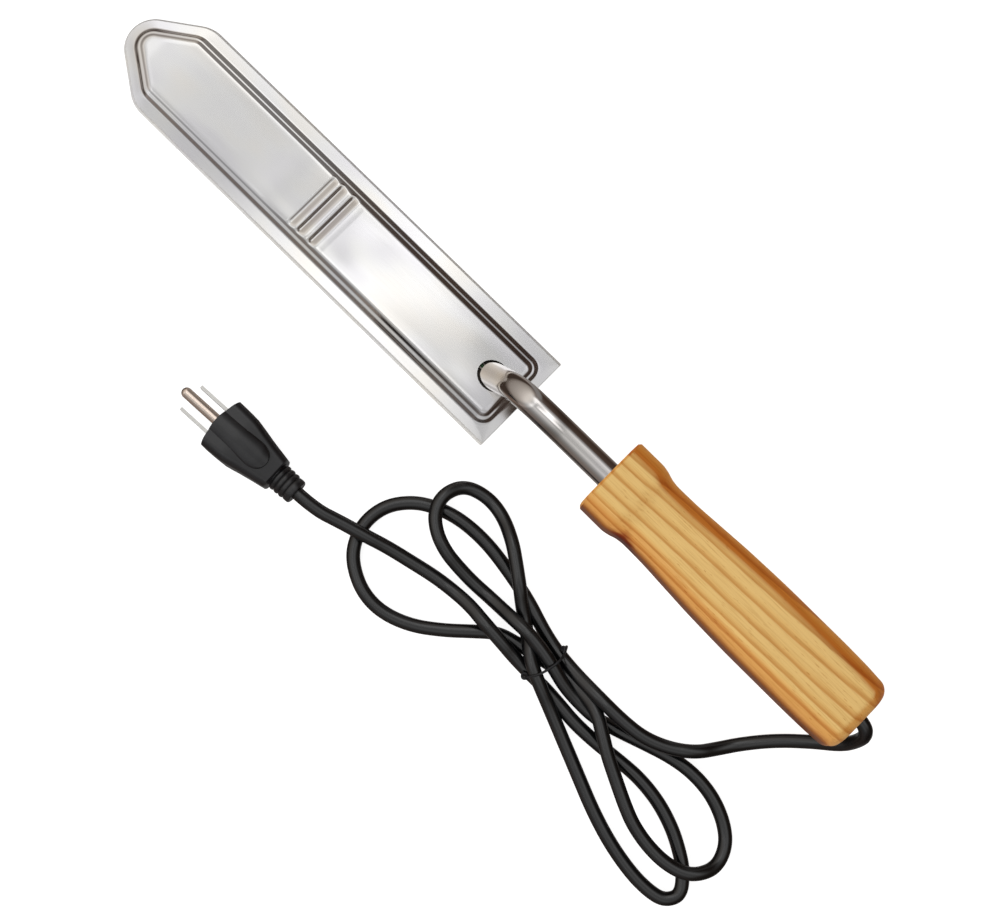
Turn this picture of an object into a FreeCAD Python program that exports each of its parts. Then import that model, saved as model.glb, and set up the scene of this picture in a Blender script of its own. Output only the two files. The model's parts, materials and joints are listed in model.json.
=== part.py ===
import FreeCAD, Part
import math
import os

# Electric honey uncapping knife: a hollow heated steel blade, a cranked neck tube, a wooden handle
# and a mains cord that is folded into a tied hank and ends in a three-pin plug.
# Millimetres. +X runs from the tip to the handle, +Z is up, and z = 0 is the underside of the blade.
# The origin is under the middle of the knife's length.

Vector = FreeCAD.Vector

# Driving dimensions
BLADE_LENGTH = 242.0
BLADE_WIDTH = 50.0
NECK_GAP = 50.0          # bare tube between the heel of the blade and the handle
HANDLE_LENGTH = 143.0
AXIS_Z = 34.0            # height of the neck's straight end and of the handle's axis
BASE_SHEET = 1.2
COVER_SHEET = 0.8
PANEL_TOP = 6.4          # top of the raised panel
TUBE_DIAMETER = 12.0
CORD_DIAMETER = 6.0
WIRE_DIAMETER = 1.4

# Places along the knife
KNIFE_LENGTH = BLADE_LENGTH + NECK_GAP + HANDLE_LENGTH
TIP_X = -KNIFE_LENGTH / 2
HEEL_X = TIP_X + BLADE_LENGTH
FRONT_X = HEEL_X + NECK_GAP          # front face of the handle
REAR_X = KNIFE_LENGTH / 2            # rear face of the handle

# Blade outline
SLANT = math.radians(35.2)           # angle of the pointed end's edges to the axis
TIP_RADIUS = 13.0
SHOULDER_RADIUS = 16.0
SIDE_FLANGE = 5.7                    # flat rim along the long edges
HEEL_FLANGE = 3.5                    # flat rim at the heel
WALL_WIDTH = 5.3                     # plan width of the pressed wall
BEVEL_WIDTH = 1.3                    # ground edge, seen from above

# Neck
NECK_X = HEEL_X - 16.5               # where the tube's axis crosses the panel
NECK_ANGLE = math.radians(60)
NECK_BEND = 20.0
TUBE_WALL = 1.0
TUBE_IN_HANDLE = 45.0
NECK_HOLE_RADIUS = 7.0

# Heater
HEATER_FRONT = TIP_X + 31.0
HEATER_REAR = -46.0
MICA = 0.5
RIBBON = 0.3
HEATER_HALF_WIDTH = 11.0
RIBBON_WIDTH = 3.0
WINDING_TURNS = 15
WINDING_START = HEATER_FRONT + 5.0
WINDING_END = HEATER_REAR - 5.0
NEUTRAL_END_Y = 7.0                  # where the neutral lead meets the end of the winding

# Plug
PLUG_Y = -96.5
PLUG_FACE_X = -58.2
PLUG_WIDTH = 24.2
PLUG_HEIGHT = 24.0
PLUG_AXIS_Z = PLUG_HEIGHT / 2
PLUG_TAPER_X = -46.0                 # where the body starts to narrow
PLUG_RELIEF_X = -27.0                # where the ribbed strain relief starts
PLUG_END_X = -15.5
BLADE_SPACING = 12.7
GROUND_OFFSET = 11.9
FLAT_PIN_TIP_X = -77.5
GROUND_PIN_TIP_X = -80.5
PLUG_TURN = 2.6                      # the plug lies turned a little, in degrees about this point
PLUG_PIVOT = (-41.5, PLUG_Y, 0)

# The free cord's route, point by point, from the handle to the hank and from the hank to the plug
HANDLE_LEAD_ROUTE = [
    (217.5, 0, 34), (223.5, 0, 34), (228, -2.5, 30.5), (227.5, -6.5, 24), (222, -11, 17.5),
    (213, -17.5, 11), (202, -27.5, 6), (193, -38.5, 3), (187, -47, 4.5), (181, -55, 9.3),
    (172, -61.5, 9.3),
]

PLUG_LEAD_ROUTE = [(17, -87, 9.3), (6, -91, 10)]
PLUG_LEAD_STRAIGHT = 10.5            # the last stretch lies in line with the plug

# Outline of the tied hank as it lies: corner points and their radii, anticlockwise
HANK_CORNERS = [
    ((8, -66), 14), ((11, -103), 14), ((40, -111), 12), ((64, -103), 20), ((92, -83), 25),
    ((128, -85), 40), ((188, -114), 30), ((222, -114), 10), ((224, -80), 12), ((206, -58), 18),
    ((135, -60), 60), ((96, -58), 40), ((58, -34), 14), ((27, -36), 11),
]
HANK_HEIGHT = 13.0
TIE_X = 110.0
TIE_WIRE = 1.3
TIE_Y_RANGE = (-83.3, -61.2)
TIE_Z_RANGE = (0.8, 12.2)


def box(x_range, y_range, z_range):
    size = [high - low for low, high in (x_range, y_range, z_range)]
    return Part.makeBox(*size, Vector(x_range[0], y_range[0], z_range[0]))


def cylinder(radius, start, end):
    start = Vector(*start)
    along = Vector(*end) - start
    return Part.makeCylinder(radius, along.Length, start, along)


def fillet_arc(before, corner, after, radius):
    """Arc of the given radius that rounds the corner of the path before-corner-after."""
    back = (before - corner).normalize()
    ahead = (after - corner).normalize()
    half_angle = back.getAngle(ahead) / 2
    reach = radius / math.tan(half_angle)
    bisector = (back + ahead).normalize()
    middle = corner + bisector * (radius / math.sin(half_angle) - radius)
    return Part.Arc(corner + back * reach, middle, corner + ahead * reach)


def rounded_outline(corners, radii, z):
    """Closed flat wire through (x, y) corners, each rounded by a tangent arc."""
    points = [Vector(x, y, z) for x, y in corners]
    count = len(points)
    arcs = [fillet_arc(points[i - 1], points[i], points[(i + 1) % count], radii[i])
            for i in range(count)]
    edges = []
    for i in range(count):
        edges.append(arcs[i].toShape())
        start = arcs[i].EndPoint
        end = arcs[(i + 1) % count].StartPoint
        edges.append(Part.LineSegment(start, end).toShape())
    return Part.Wire(edges)


def prism(outline, height):
    return Part.Face(outline).extrude(Vector(0, 0, height))


def facing_x(outline, x, y, z):
    """Stand a flat outline up across the X axis: its local x becomes +Y and its local y +Z."""
    outline.Placement = FreeCAD.Placement(FreeCAD.Matrix(0, 0, 1, x, 1, 0, 0, y, 0, 1, 0, z, 0, 0, 0, 1))
    return outline


def rounded_rectangle(half_width, half_height, radius):
    corners = [(-half_width, -half_height), (half_width, -half_height),
               (half_width, half_height), (-half_width, half_height)]
    return rounded_outline(corners, [radius] * 4, 0)


def path_wire(points, radii):
    """Open wire of straight runs joined by tangent arcs, one radius for each inner point."""
    arcs = [fillet_arc(points[i], points[i + 1], points[i + 2], radii[i])
            for i in range(len(points) - 2)]
    edges = []
    start = points[0]
    for arc in arcs:
        edges.append(Part.LineSegment(start, arc.StartPoint).toShape())
        edges.append(arc.toShape())
        start = arc.EndPoint
    edges.append(Part.LineSegment(start, points[-1]).toShape())
    return Part.Wire(edges)


def tube_along(path, radius):
    """Solid round bar that follows a path wire."""
    first = path.Edges[0]
    start = first.Vertexes[0].Point
    heading = first.tangentAt(first.FirstParameter)
    section = Part.Wire(Part.Circle(start, heading, radius).toShape())
    return path.makePipeShell([section], True, False)


def widest_radii(points):
    """Largest arc that each inner point's two runs leave room for."""
    radii = []
    for before, corner, after in zip(points, points[1:], points[2:]):
        run = min((corner - before).Length, (after - corner).Length)
        turn = (corner - before).getAngle(after - corner)
        radii.append(0.45 * run / math.tan(turn / 2))
    return radii


def cord_tube(name, route):
    points = [Vector(*point) for point in route]
    radii = widest_radii(points)
    path = path_wire(points, radii)
    tube = tube_along(path, CORD_DIAMETER / 2)
    expected = math.pi * (CORD_DIAMETER / 2) ** 2 * path.Length
    print(name, "bend radii", [round(radius, 1) for radius in radii])
    print(name, "length", round(path.Length, 1), "volume / (section x length)",
          round(tube.Volume / expected, 4))
    return tube


# Blade

def blade_outline(inset, heel_inset, z):
    """The blade's outline, moved inwards by inset, and at the heel by heel_inset."""
    half = BLADE_WIDTH / 2 - inset
    sharp_tip = TIP_X + TIP_RADIUS - TIP_RADIUS / math.sin(SLANT)
    apex = sharp_tip + inset / math.sin(SLANT)
    shoulder = apex + half / math.tan(SLANT)
    heel = HEEL_X - heel_inset
    heel_radius = 0.6 if inset < SIDE_FLANGE else 2.2 + 0.8 * (SIDE_FLANGE + WALL_WIDTH - inset)
    shoulder_radius = SHOULDER_RADIUS - inset
    tip_radius = max(TIP_RADIUS - inset, 2.8)
    corners = [(heel, -half), (heel, half), (shoulder, half), (apex, 0), (shoulder, -half)]
    radii = [heel_radius, heel_radius, shoulder_radius, tip_radius, shoulder_radius]
    return rounded_outline(corners, radii, z)


def wall_outline(inset, z):
    """Outline on the pressed wall, whose plan width is a little less at the heel."""
    heel_inset = HEEL_FLANGE + (inset - SIDE_FLANGE) * 0.83
    return blade_outline(inset, heel_inset, z)


def layers(profile):
    """Solid built up of ruled layers between the wall outlines of an (inset, height) profile."""
    pieces = []
    for (inset, z), (next_inset, next_z) in zip(profile, profile[1:]):
        wires = [wall_outline(inset, z), wall_outline(next_inset, next_z)]
        pieces.append(Part.makeLoft(wires, True, True))
    return pieces[0].multiFuse(pieces[1:]).removeSplitter()


FLANGE_TOP = BASE_SHEET + COVER_SHEET
# Two steps with a narrow shoulder between them, then a soft edge round the panel.
WALL_PROFILE = [
    (SIDE_FLANGE, FLANGE_TOP), (6.5, 2.9), (7.6, 4.3), (8.8, 4.7), (10.0, 6.0),
    (SIDE_FLANGE + WALL_WIDTH, PANEL_TOP),
]
CEILING = PANEL_TOP - COVER_SHEET


BEAD_PLACES = [TIP_X + 112.6, TIP_X + 124.4]
BEAD_HALF_WIDTH = 3.1
BEAD_RISE = 0.9
BEAD_REACH = 14.4


def bead(x, lowered):
    """Stamped rib across the panel, as a solid ridge, lowered by the sheet for its underside."""
    half_width = BEAD_HALF_WIDTH - lowered * 0.35
    z = PANEL_TOP - lowered
    left = Vector(x - half_width, 0, z)
    top = Vector(x, 0, z + BEAD_RISE)
    right = Vector(x + half_width, 0, z)
    profile = Part.Wire([Part.Arc(left, top, right).toShape(), Part.LineSegment(right, left).toShape()])
    reach = BEAD_REACH - lowered
    ridge = Part.Face(profile).extrude(Vector(0, 2 * reach, 0))
    ridge.translate(Vector(0, -reach, 0))
    return ridge


def neck_axis_point(z):
    """Point of the sloping tube's axis at height z."""
    return Vector(NECK_X + (z - PANEL_TOP) / math.tan(NECK_ANGLE), 0, z)


def neck_bar(radius, low, high):
    """Bar along the sloping part of the tube between two heights of its axis."""
    return cylinder(radius, neck_axis_point(low), neck_axis_point(high))


EDGE_LAND = 0.4                      # height of the blade's rim that stays upright
BEVEL_MIDDLE = BEVEL_WIDTH / 2       # inset of the ground edge where the two sheets meet


def make_blade_base():
    lower = prism(blade_outline(0, 0, 0), EDGE_LAND)
    bevel_wires = [blade_outline(0, 0, EDGE_LAND), blade_outline(BEVEL_MIDDLE, 0, BASE_SHEET)]
    bevel = Part.makeLoft(bevel_wires, True, True)
    return lower.fuse(bevel).removeSplitter()


def make_blade_cover():
    flange_wires = [blade_outline(BEVEL_MIDDLE, 0, BASE_SHEET), blade_outline(BEVEL_WIDTH, 0, FLANGE_TOP)]
    flange = Part.makeLoft(flange_wires, True, True)
    outside = flange.multiFuse([layers(WALL_PROFILE)] + [bead(x, 0) for x in BEAD_PLACES])
    inner = [(inset + 0.6 * COVER_SHEET, z - COVER_SHEET) for inset, z in WALL_PROFILE]
    hollow = layers(inner).multiFuse([bead(x, COVER_SHEET) for x in BEAD_PLACES])
    hole = neck_bar(NECK_HOLE_RADIUS, CEILING - 9, PANEL_TOP + 8)
    return outside.cut(hollow).cut(hole).removeSplitter()


# Heater

def make_heater_winding():
    """One ribbon wound round the mica core: straight below, one pitch further along on top."""
    half = HEATER_HALF_WIDTH
    width = RIBBON_WIDTH
    pitch = (WINDING_END - width - WINDING_START) / WINDING_TURNS
    bottom_z = BASE_SHEET + MICA
    top_z = bottom_z + RIBBON + MICA
    pieces = []
    for turn in range(WINDING_TURNS):
        x = WINDING_START + turn * pitch
        pieces.append(box((x, x + width), (-half, half), (bottom_z, bottom_z + RIBBON)))
        pieces.append(box((x, x + width), (half, half + RIBBON), (bottom_z, top_z + RIBBON)))
        corners = [(x, half), (x + width, half), (x + pitch + width, -half), (x + pitch, -half)]
        points = [Vector(cx, cy, top_z) for cx, cy in corners + corners[:1]]
        pieces.append(prism(Part.makePolygon(points), RIBBON))
        side_x = (x + pitch, x + pitch + width)
        pieces.append(box(side_x, (-half - RIBBON, -half), (bottom_z, top_z + RIBBON)))
    last_x = WINDING_END - width
    pieces.append(box((last_x, WINDING_END), (-half, half), (bottom_z, bottom_z + RIBBON)))
    tab_y = (NEUTRAL_END_Y - width / 2, NEUTRAL_END_Y + width / 2)
    pieces.append(box((last_x, HEATER_REAR + 5), tab_y, (bottom_z, bottom_z + RIBBON)))
    return pieces[0].multiFuse(pieces[1:]).removeSplitter()


def make_heater_return():
    """Strip that brings the winding's far end back over the upper mica to the thermostat."""
    x_range = (WINDING_START, WINDING_START + RIBBON_WIDTH)
    edge = -HEATER_HALF_WIDTH
    top = UPPER_MICA_Z + MICA
    riser = box(x_range, (edge - RIBBON, edge), (BASE_SHEET + MICA, top + RIBBON))
    across = box(x_range, (edge, TERMINAL_Y[1]), (top, top + RIBBON))
    along = box((x_range[0], THERMOSTAT_X[0] - TERMINAL_LENGTH), TERMINAL_Y, (top, top + RIBBON))
    return riser.multiFuse([across, along]).removeSplitter()


def mica_sheet(z, rear):
    half = HEATER_HALF_WIDTH + 1.2
    return box((HEATER_FRONT, rear), (-half, half), (z, z + MICA))


CORE_Z = BASE_SHEET + MICA + RIBBON
UPPER_MICA_Z = CORE_Z + MICA + RIBBON


def make_heater_core():
    half = HEATER_HALF_WIDTH
    return box((HEATER_FRONT + 2, HEATER_REAR - 2), (-half, half), (CORE_Z, CORE_Z + MICA))


def make_insulation_pad():
    half = HEATER_HALF_WIDTH + 1.0
    bottom = UPPER_MICA_Z + MICA
    return box((HEATER_FRONT, HEATER_REAR), (-half, half), (bottom, CEILING))


THERMOSTAT_X = (-39.0, -20.0)
THERMOSTAT_Y = (-8.0, -0.6)
THERMOSTAT_BOTTOM = BASE_SHEET + MICA
TERMINAL_LENGTH = 3.0
TERMINAL_Y = (-5.6, -3.0)


def make_thermostat():
    body = box(THERMOSTAT_X, THERMOSTAT_Y, (THERMOSTAT_BOTTOM, CEILING - 0.1))
    long_edges = [edge for edge in body.Edges if abs(edge.tangentAt(edge.FirstParameter).x) > 0.9]
    return body.makeFillet(0.6, long_edges)


def thermostat_terminal(end_x, outward):
    """Flat tab out of one end of the thermostat."""
    far = end_x + outward * TERMINAL_LENGTH
    bottom = UPPER_MICA_Z + MICA
    return box((min(end_x, far), max(end_x, far)), TERMINAL_Y, (bottom, bottom + RIBBON))


# Wires

WIRE_FOOT_Z = 3.0                    # height at which the wires turn up into the tube
WIRE_BEND = 4.0


def neck_route(side, lift):
    """Foot corner, upper corner and bend radii of a line beside the tube's own axis."""
    shift = lift * math.tan(NECK_ANGLE / 2)
    foot = Vector(neck_axis_point(WIRE_FOOT_Z).x - shift, side, WIRE_FOOT_Z + lift)
    upper = Vector(neck_axis_point(AXIS_Z).x - shift, side, AXIS_Z + lift)
    return foot, upper, [WIRE_BEND - lift, NECK_BEND + lift]


SPLICE_START = FRONT_X + TUBE_IN_HANDLE + 14
SPLICE_LENGTH = 14.0
SPLICE_RADIUS = 1.9
# Sideways place, lift and spread place of each of the three wires: line, neutral and ground
WIRE_PLACES = [(-0.8, 0.0, (-3.2, -1.6)), (0.8, 0.0, (3.2, -1.6)), (0.0, 1.5, (0.0, 3.4))]


def lead_wire(index, inside_points):
    """Wire from inside the blade, up the neck tube and on to its splice in the handle."""
    side, lift, spread = WIRE_PLACES[index]
    foot, upper, bends = neck_route(side, lift)
    tube_end = Vector(FRONT_X + TUBE_IN_HANDLE + 3, side, AXIS_Z + lift)
    spread_start = Vector(SPLICE_START - 4, spread[0], AXIS_Z + spread[1])
    splice = Vector(SPLICE_START, spread[0], AXIS_Z + spread[1])
    inside = [Vector(*point) for point in inside_points]
    points = inside + [foot, upper, tube_end, spread_start, splice]
    radii = widest_radii(inside + [foot]) + bends + [WIRE_BEND, WIRE_BEND]
    return tube_along(path_wire(points, radii), WIRE_DIAMETER / 2)


CORE_RADIUS = 1.0
CORE_ANGLES = [-150, -30, 90]        # places of the line, neutral and ground cores in the jacket
CORE_OFFSET = 1.4


def core_wire(index):
    """Cord core from its splice back to the cut end of the cord's jacket."""
    spread = WIRE_PLACES[index][2]
    angle = math.radians(CORE_ANGLES[index])
    packed_y = CORE_OFFSET * math.cos(angle)
    packed = Vector(STUB_START, packed_y, AXIS_Z + CORE_OFFSET * math.sin(angle))
    splice_end = Vector(SPLICE_START + SPLICE_LENGTH, spread[0], AXIS_Z + spread[1])
    near_splice = splice_end + Vector(4, 0, 0)
    near_jacket = packed - Vector(4, 0, 0)
    points = [splice_end, near_splice, near_jacket, packed]
    return tube_along(path_wire(points, [WIRE_BEND, WIRE_BEND]), CORE_RADIUS)


def make_splices():
    splices = []
    end = SPLICE_START + SPLICE_LENGTH
    for side, lift, (y, rise) in WIRE_PLACES:
        z = AXIS_Z + rise
        splices.append(cylinder(SPLICE_RADIUS, (SPLICE_START, y, z), (end, y, z)))
    return Part.makeCompound(splices)


# Neck

def neck_path(low_z, end_x):
    points = [neck_axis_point(low_z), neck_axis_point(AXIS_Z), Vector(end_x, 0, AXIS_Z)]
    return path_wire(points, [NECK_BEND])


TUBE_FOOT_Z = BASE_SHEET + 1.0
WIRE_SLOT = box((NECK_X - 14, NECK_X - 2), (-2.2, 2.2), (TUBE_FOOT_Z - 0.001, 5.2))


def make_neck_tube():
    end_x = FRONT_X + TUBE_IN_HANDLE
    path = neck_path(TUBE_FOOT_Z - 4, end_x)
    outside = tube_along(path, TUBE_DIAMETER / 2)
    bore = tube_along(path, TUBE_DIAMETER / 2 - TUBE_WALL)
    below = box((NECK_X - 30, NECK_X + 30), (-20, 20), (-20, TUBE_FOOT_Z))
    return outside.cut(bore).cut(below).cut(WIRE_SLOT)


def make_neck_bracket():
    plate = box((NECK_X - 26, NECK_X + 11), (-12, 12), (BASE_SHEET, TUBE_FOOT_Z))
    collar = neck_bar(7.2, 0, 6).common(box((-20, 40), (-12, 12), (TUBE_FOOT_Z, 4.4)))
    collar = collar.cut(neck_bar(TUBE_DIAMETER / 2, -3, 9)).cut(WIRE_SLOT)
    return plate.fuse(collar)


LINER_WALL = 0.8
LINER_FOOT_Z = 9.0


def make_tube_liner():
    """Fibreglass sleeve against the tube's inner wall, which keeps the wires off the hot steel."""
    path = neck_path(LINER_FOOT_Z, FRONT_X + TUBE_IN_HANDLE)
    outer = TUBE_DIAMETER / 2 - TUBE_WALL
    return tube_along(path, outer).cut(tube_along(path, outer - LINER_WALL))


GROUND_X = NECK_X - 21
GROUND_Y = 7.5


def make_ground_lug():
    ring = cylinder(3.0, (GROUND_X, GROUND_Y, TUBE_FOOT_Z), (GROUND_X, GROUND_Y, TUBE_FOOT_Z + 0.6))
    tail = box((GROUND_X - 1.1, GROUND_X + 1.1), (3.4, GROUND_Y), (TUBE_FOOT_Z, TUBE_FOOT_Z + 0.6))
    barrel = box((GROUND_X - 1.2, GROUND_X + 1.2), (3.0, 4.4), (TUBE_FOOT_Z, TUBE_FOOT_Z + 3.0))
    return ring.multiFuse([tail, barrel]).removeSplitter()


def make_ground_rivet():
    shank = cylinder(1.3, (GROUND_X, GROUND_Y, BASE_SHEET), (GROUND_X, GROUND_Y, TUBE_FOOT_Z + 0.6))
    head_bottom = (GROUND_X, GROUND_Y, TUBE_FOOT_Z + 0.6)
    head = cylinder(2.3, head_bottom, (GROUND_X, GROUND_Y, TUBE_FOOT_Z + 1.4))
    return shank.fuse(head).removeSplitter()


# Handle

# Distance from the front face, half width and half height of the handle's sections
HANDLE_SECTIONS = [
    (0.0, 17.7, 12.6), (1.0, 18.5, 13.4), (13.0, 18.5, 13.4), (16.5, 18.0, 13.1), (20.5, 16.9, 12.4),
    (24.5, 16.5, 12.1), (33.0, 16.6, 12.1), (49.0, 17.4, 12.4), (65.0, 18.2, 12.8), (90.0, 18.7, 13.2),
    (114.0, 18.7, 13.2), (128.0, 18.5, 13.0), (137.5, 18.0, 12.8),
]
HANDLE_END_RADIUS = 5.5              # rounding of the rear edges, seen from above
HANDLE_END_DROP = 4.0                # and seen from the side
HANDLE_CORNER_RADIUS = 8.5
CHAMBER_RADIUS = 6.5                 # bore behind the tube, which holds the splices
GROMMET_LENGTH = 12.0
STOP_LENGTH = 6.0                    # crimped ring that keeps the cord from being pulled out
STOP_RADIUS = 4.8
STUB_START = REAR_X - 37


def handle_section(distance, half_width, half_height):
    radius = min(HANDLE_CORNER_RADIUS, half_height - 1)
    outline = rounded_rectangle(half_width, half_height, radius)
    return facing_x(outline, FRONT_X + distance, 0, AXIS_Z)


def handle_end_sections(last_width, last_height, steps=4):
    """Sections of the rounded rear edge, which turns in by a quarter circle."""
    sections = []
    for step in range(1, steps + 1):
        angle = math.pi / 2 * step / steps
        along = HANDLE_LENGTH - HANDLE_END_RADIUS * (1 - math.sin(angle))
        turn_in = 1 - math.cos(angle)
        width = last_width - HANDLE_END_RADIUS * turn_in
        height = last_height - HANDLE_END_DROP * turn_in
        sections.append((along, width, height))
    return sections


SCREW_X = FRONT_X + 22
SCREW_HEAD_Z = (22.7, 24.2)
SCREW_HEAD_RADIUS = 3.2
SCREW_RADIUS = 1.7
SCREW_TIP_Z = 30.0


def make_handle_screw():
    head = cylinder(SCREW_HEAD_RADIUS, (SCREW_X, 0, SCREW_HEAD_Z[0]), (SCREW_X, 0, SCREW_HEAD_Z[1]))
    shank = cylinder(SCREW_RADIUS, (SCREW_X, 0, SCREW_HEAD_Z[1]), (SCREW_X, 0, SCREW_TIP_Z))
    slot = box((SCREW_X - 4, SCREW_X + 4), (-0.45, 0.45), (SCREW_HEAD_Z[0], SCREW_HEAD_Z[0] + 0.8))
    return head.fuse(shank).removeSplitter().cut(slot)


def make_handle():
    sections = HANDLE_SECTIONS + handle_end_sections(*HANDLE_SECTIONS[-1][1:])
    wood = Part.makeLoft([handle_section(*section) for section in sections], True, True)
    chamber_x = FRONT_X + TUBE_IN_HANDLE
    tube_bore = cylinder(TUBE_DIAMETER / 2, (FRONT_X - 1, 0, AXIS_Z), (chamber_x + 1, 0, AXIS_Z))
    chamber = cylinder(CHAMBER_RADIUS, (chamber_x, 0, AXIS_Z), (REAR_X + 1, 0, AXIS_Z))
    screw_well = cylinder(SCREW_HEAD_RADIUS + 0.1, (SCREW_X, 0, 10), (SCREW_X, 0, SCREW_HEAD_Z[1]))
    screw_hole = cylinder(SCREW_RADIUS, (SCREW_X, 0, 20), (SCREW_X, 0, AXIS_Z))
    return wood.cut(tube_bore.multiFuse([chamber, screw_well, screw_hole]))


GROMMET_START = REAR_X - GROMMET_LENGTH


def ring_on_axis(radius, start_x, end_x):
    """Ring round the cord inside the handle."""
    outside = cylinder(radius, (start_x, 0, AXIS_Z), (end_x, 0, AXIS_Z))
    return outside.cut(cylinder(CORD_DIAMETER / 2, (start_x, 0, AXIS_Z), (end_x, 0, AXIS_Z)))


# Plug

def plug_section(x, width, height):
    outline = rounded_rectangle(width / 2, height / 2, min(width, height) * 0.2)
    return facing_x(outline, x, PLUG_Y, PLUG_AXIS_Z)


PLUG_NOSE_X = PLUG_FACE_X - 2.0      # the face bows out towards the pins
PIN_BASE_X = PLUG_FACE_X + 9.0
LIVE_Z = 6.6
GROUND_Z = LIVE_Z + GROUND_OFFSET
FLAT_PIN_SIZE = (1.5, 6.4)           # thickness and width
GROUND_PIN_RADIUS = 2.4
GROUND_STEM_RADIUS = 2.2             # inside the moulding
GROUND_SHOULDER_X = PLUG_NOSE_X - 0.3
TONGUE_HALF_WIDTH = 6.2
TONGUE_RISE = 1.0


def make_flat_pin(y):
    y_range = (y - FLAT_PIN_SIZE[0] / 2, y + FLAT_PIN_SIZE[0] / 2)
    z_range = (LIVE_Z - FLAT_PIN_SIZE[1] / 2, LIVE_Z + FLAT_PIN_SIZE[1] / 2)
    return box((FLAT_PIN_TIP_X, PIN_BASE_X), y_range, z_range)


def make_ground_pin():
    tip_centre = (GROUND_PIN_TIP_X + GROUND_PIN_RADIUS, PLUG_Y, GROUND_Z)
    shoulder = (GROUND_SHOULDER_X, PLUG_Y, GROUND_Z)
    shank = cylinder(GROUND_PIN_RADIUS, tip_centre, shoulder)
    stem = cylinder(GROUND_STEM_RADIUS, shoulder, (PIN_BASE_X, PLUG_Y, GROUND_Z))
    tip = Part.makeSphere(GROUND_PIN_RADIUS, Vector(*tip_centre))
    return shank.multiFuse([stem, tip]).removeSplitter()


def make_plug_insert():
    """Hard block inside the moulding that holds the three pins apart."""
    x_range = (PLUG_FACE_X + 2, PLUG_FACE_X + 8)
    return box(x_range, (PLUG_Y - 9.2, PLUG_Y + 9.2), (3.0, PLUG_HEIGHT - 2.6))


def make_plug_body():
    sections = [(PLUG_NOSE_X, PLUG_WIDTH, PLUG_HEIGHT), (PLUG_TAPER_X, PLUG_WIDTH, PLUG_HEIGHT),
                (PLUG_RELIEF_X, 16, 15)]
    body = Part.makeLoft([plug_section(*section) for section in sections], True, True)
    bow_radius = (PLUG_WIDTH ** 2 / 4 + 4) / 4
    bow_x = PLUG_NOSE_X + bow_radius
    bow = cylinder(bow_radius, (bow_x, PLUG_Y, -5), (bow_x, PLUG_Y, PLUG_HEIGHT + 5))
    behind = box((bow_x, 30), (PLUG_Y - 30, PLUG_Y + 30), (-5, PLUG_HEIGHT + 5))
    body = body.common(bow.fuse(behind))
    # Tongue on the top face: a half-round end, with its straight sides running to the pins
    end_x = PLUG_TAPER_X + 2
    tongue_z = (PLUG_AXIS_Z, PLUG_HEIGHT + TONGUE_RISE)
    tongue_end = cylinder(TONGUE_HALF_WIDTH, (end_x, PLUG_Y, tongue_z[0]), (end_x, PLUG_Y, tongue_z[1]))
    tongue_y = (PLUG_Y - TONGUE_HALF_WIDTH, PLUG_Y + TONGUE_HALF_WIDTH)
    tongue = box((PLUG_FACE_X - 1.4, end_x), tongue_y, tongue_z)
    relief_start = (PLUG_RELIEF_X - 0.5, PLUG_Y, PLUG_AXIS_Z)
    relief = [cylinder(5.0, relief_start, (PLUG_END_X, PLUG_Y, PLUG_AXIS_Z))]
    for x, radius in ((-24.6, 6.6), (-20.9, 6.2), (-17.6, 5.8)):
        relief.append(cylinder(radius, (x, PLUG_Y, PLUG_AXIS_Z), (x + 2.1, PLUG_Y, PLUG_AXIS_Z)))
    return body.multiFuse([tongue_end, tongue] + relief).removeSplitter()


def turned_with_plug(shape):
    """The plug is drawn along X and then turned to lie as it does."""
    return shape.rotated(Vector(*PLUG_PIVOT), Vector(0, 0, 1), PLUG_TURN)


def on_plug_axis(x):
    """A point of the plug's axis, after the turn."""
    turn = math.radians(PLUG_TURN)
    reach = x - PLUG_PIVOT[0]
    return (PLUG_PIVOT[0] + reach * math.cos(turn), PLUG_Y + reach * math.sin(turn), PLUG_AXIS_Z)


# Hank and tie

def make_hank():
    corners = [corner for corner, radius in HANK_CORNERS]
    radii = [radius for corner, radius in HANK_CORNERS]
    slab = prism(rounded_outline(corners, radii, 0), HANK_HEIGHT)
    around_tie = box((TIE_X - 1.1, TIE_X + 1.1), (-130, -20), (-1, HANK_HEIGHT + 1))
    depth = TIE_WIRE / 2 + 0.1
    waist_y = (TIE_Y_RANGE[0] + depth, TIE_Y_RANGE[1] - depth)
    waist_z = (TIE_Z_RANGE[0] + depth, TIE_Z_RANGE[1] - depth)
    waist = box((TIE_X - 2, TIE_X + 2), waist_y, waist_z)
    return slab.cut(around_tie.cut(waist))


def make_tie():
    """Thin wire ring round the waist of the hank."""
    half_width = (TIE_Y_RANGE[1] - TIE_Y_RANGE[0]) / 2
    half_height = (TIE_Z_RANGE[1] - TIE_Z_RANGE[0]) / 2
    middle_y = TIE_Y_RANGE[0] + half_width
    middle_z = TIE_Z_RANGE[0] + half_height
    loop = rounded_rectangle(half_width, half_height, 0.9)
    return tube_along(facing_x(loop, TIE_X, middle_y, middle_z), TIE_WIRE / 2)


# Assembly

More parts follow.
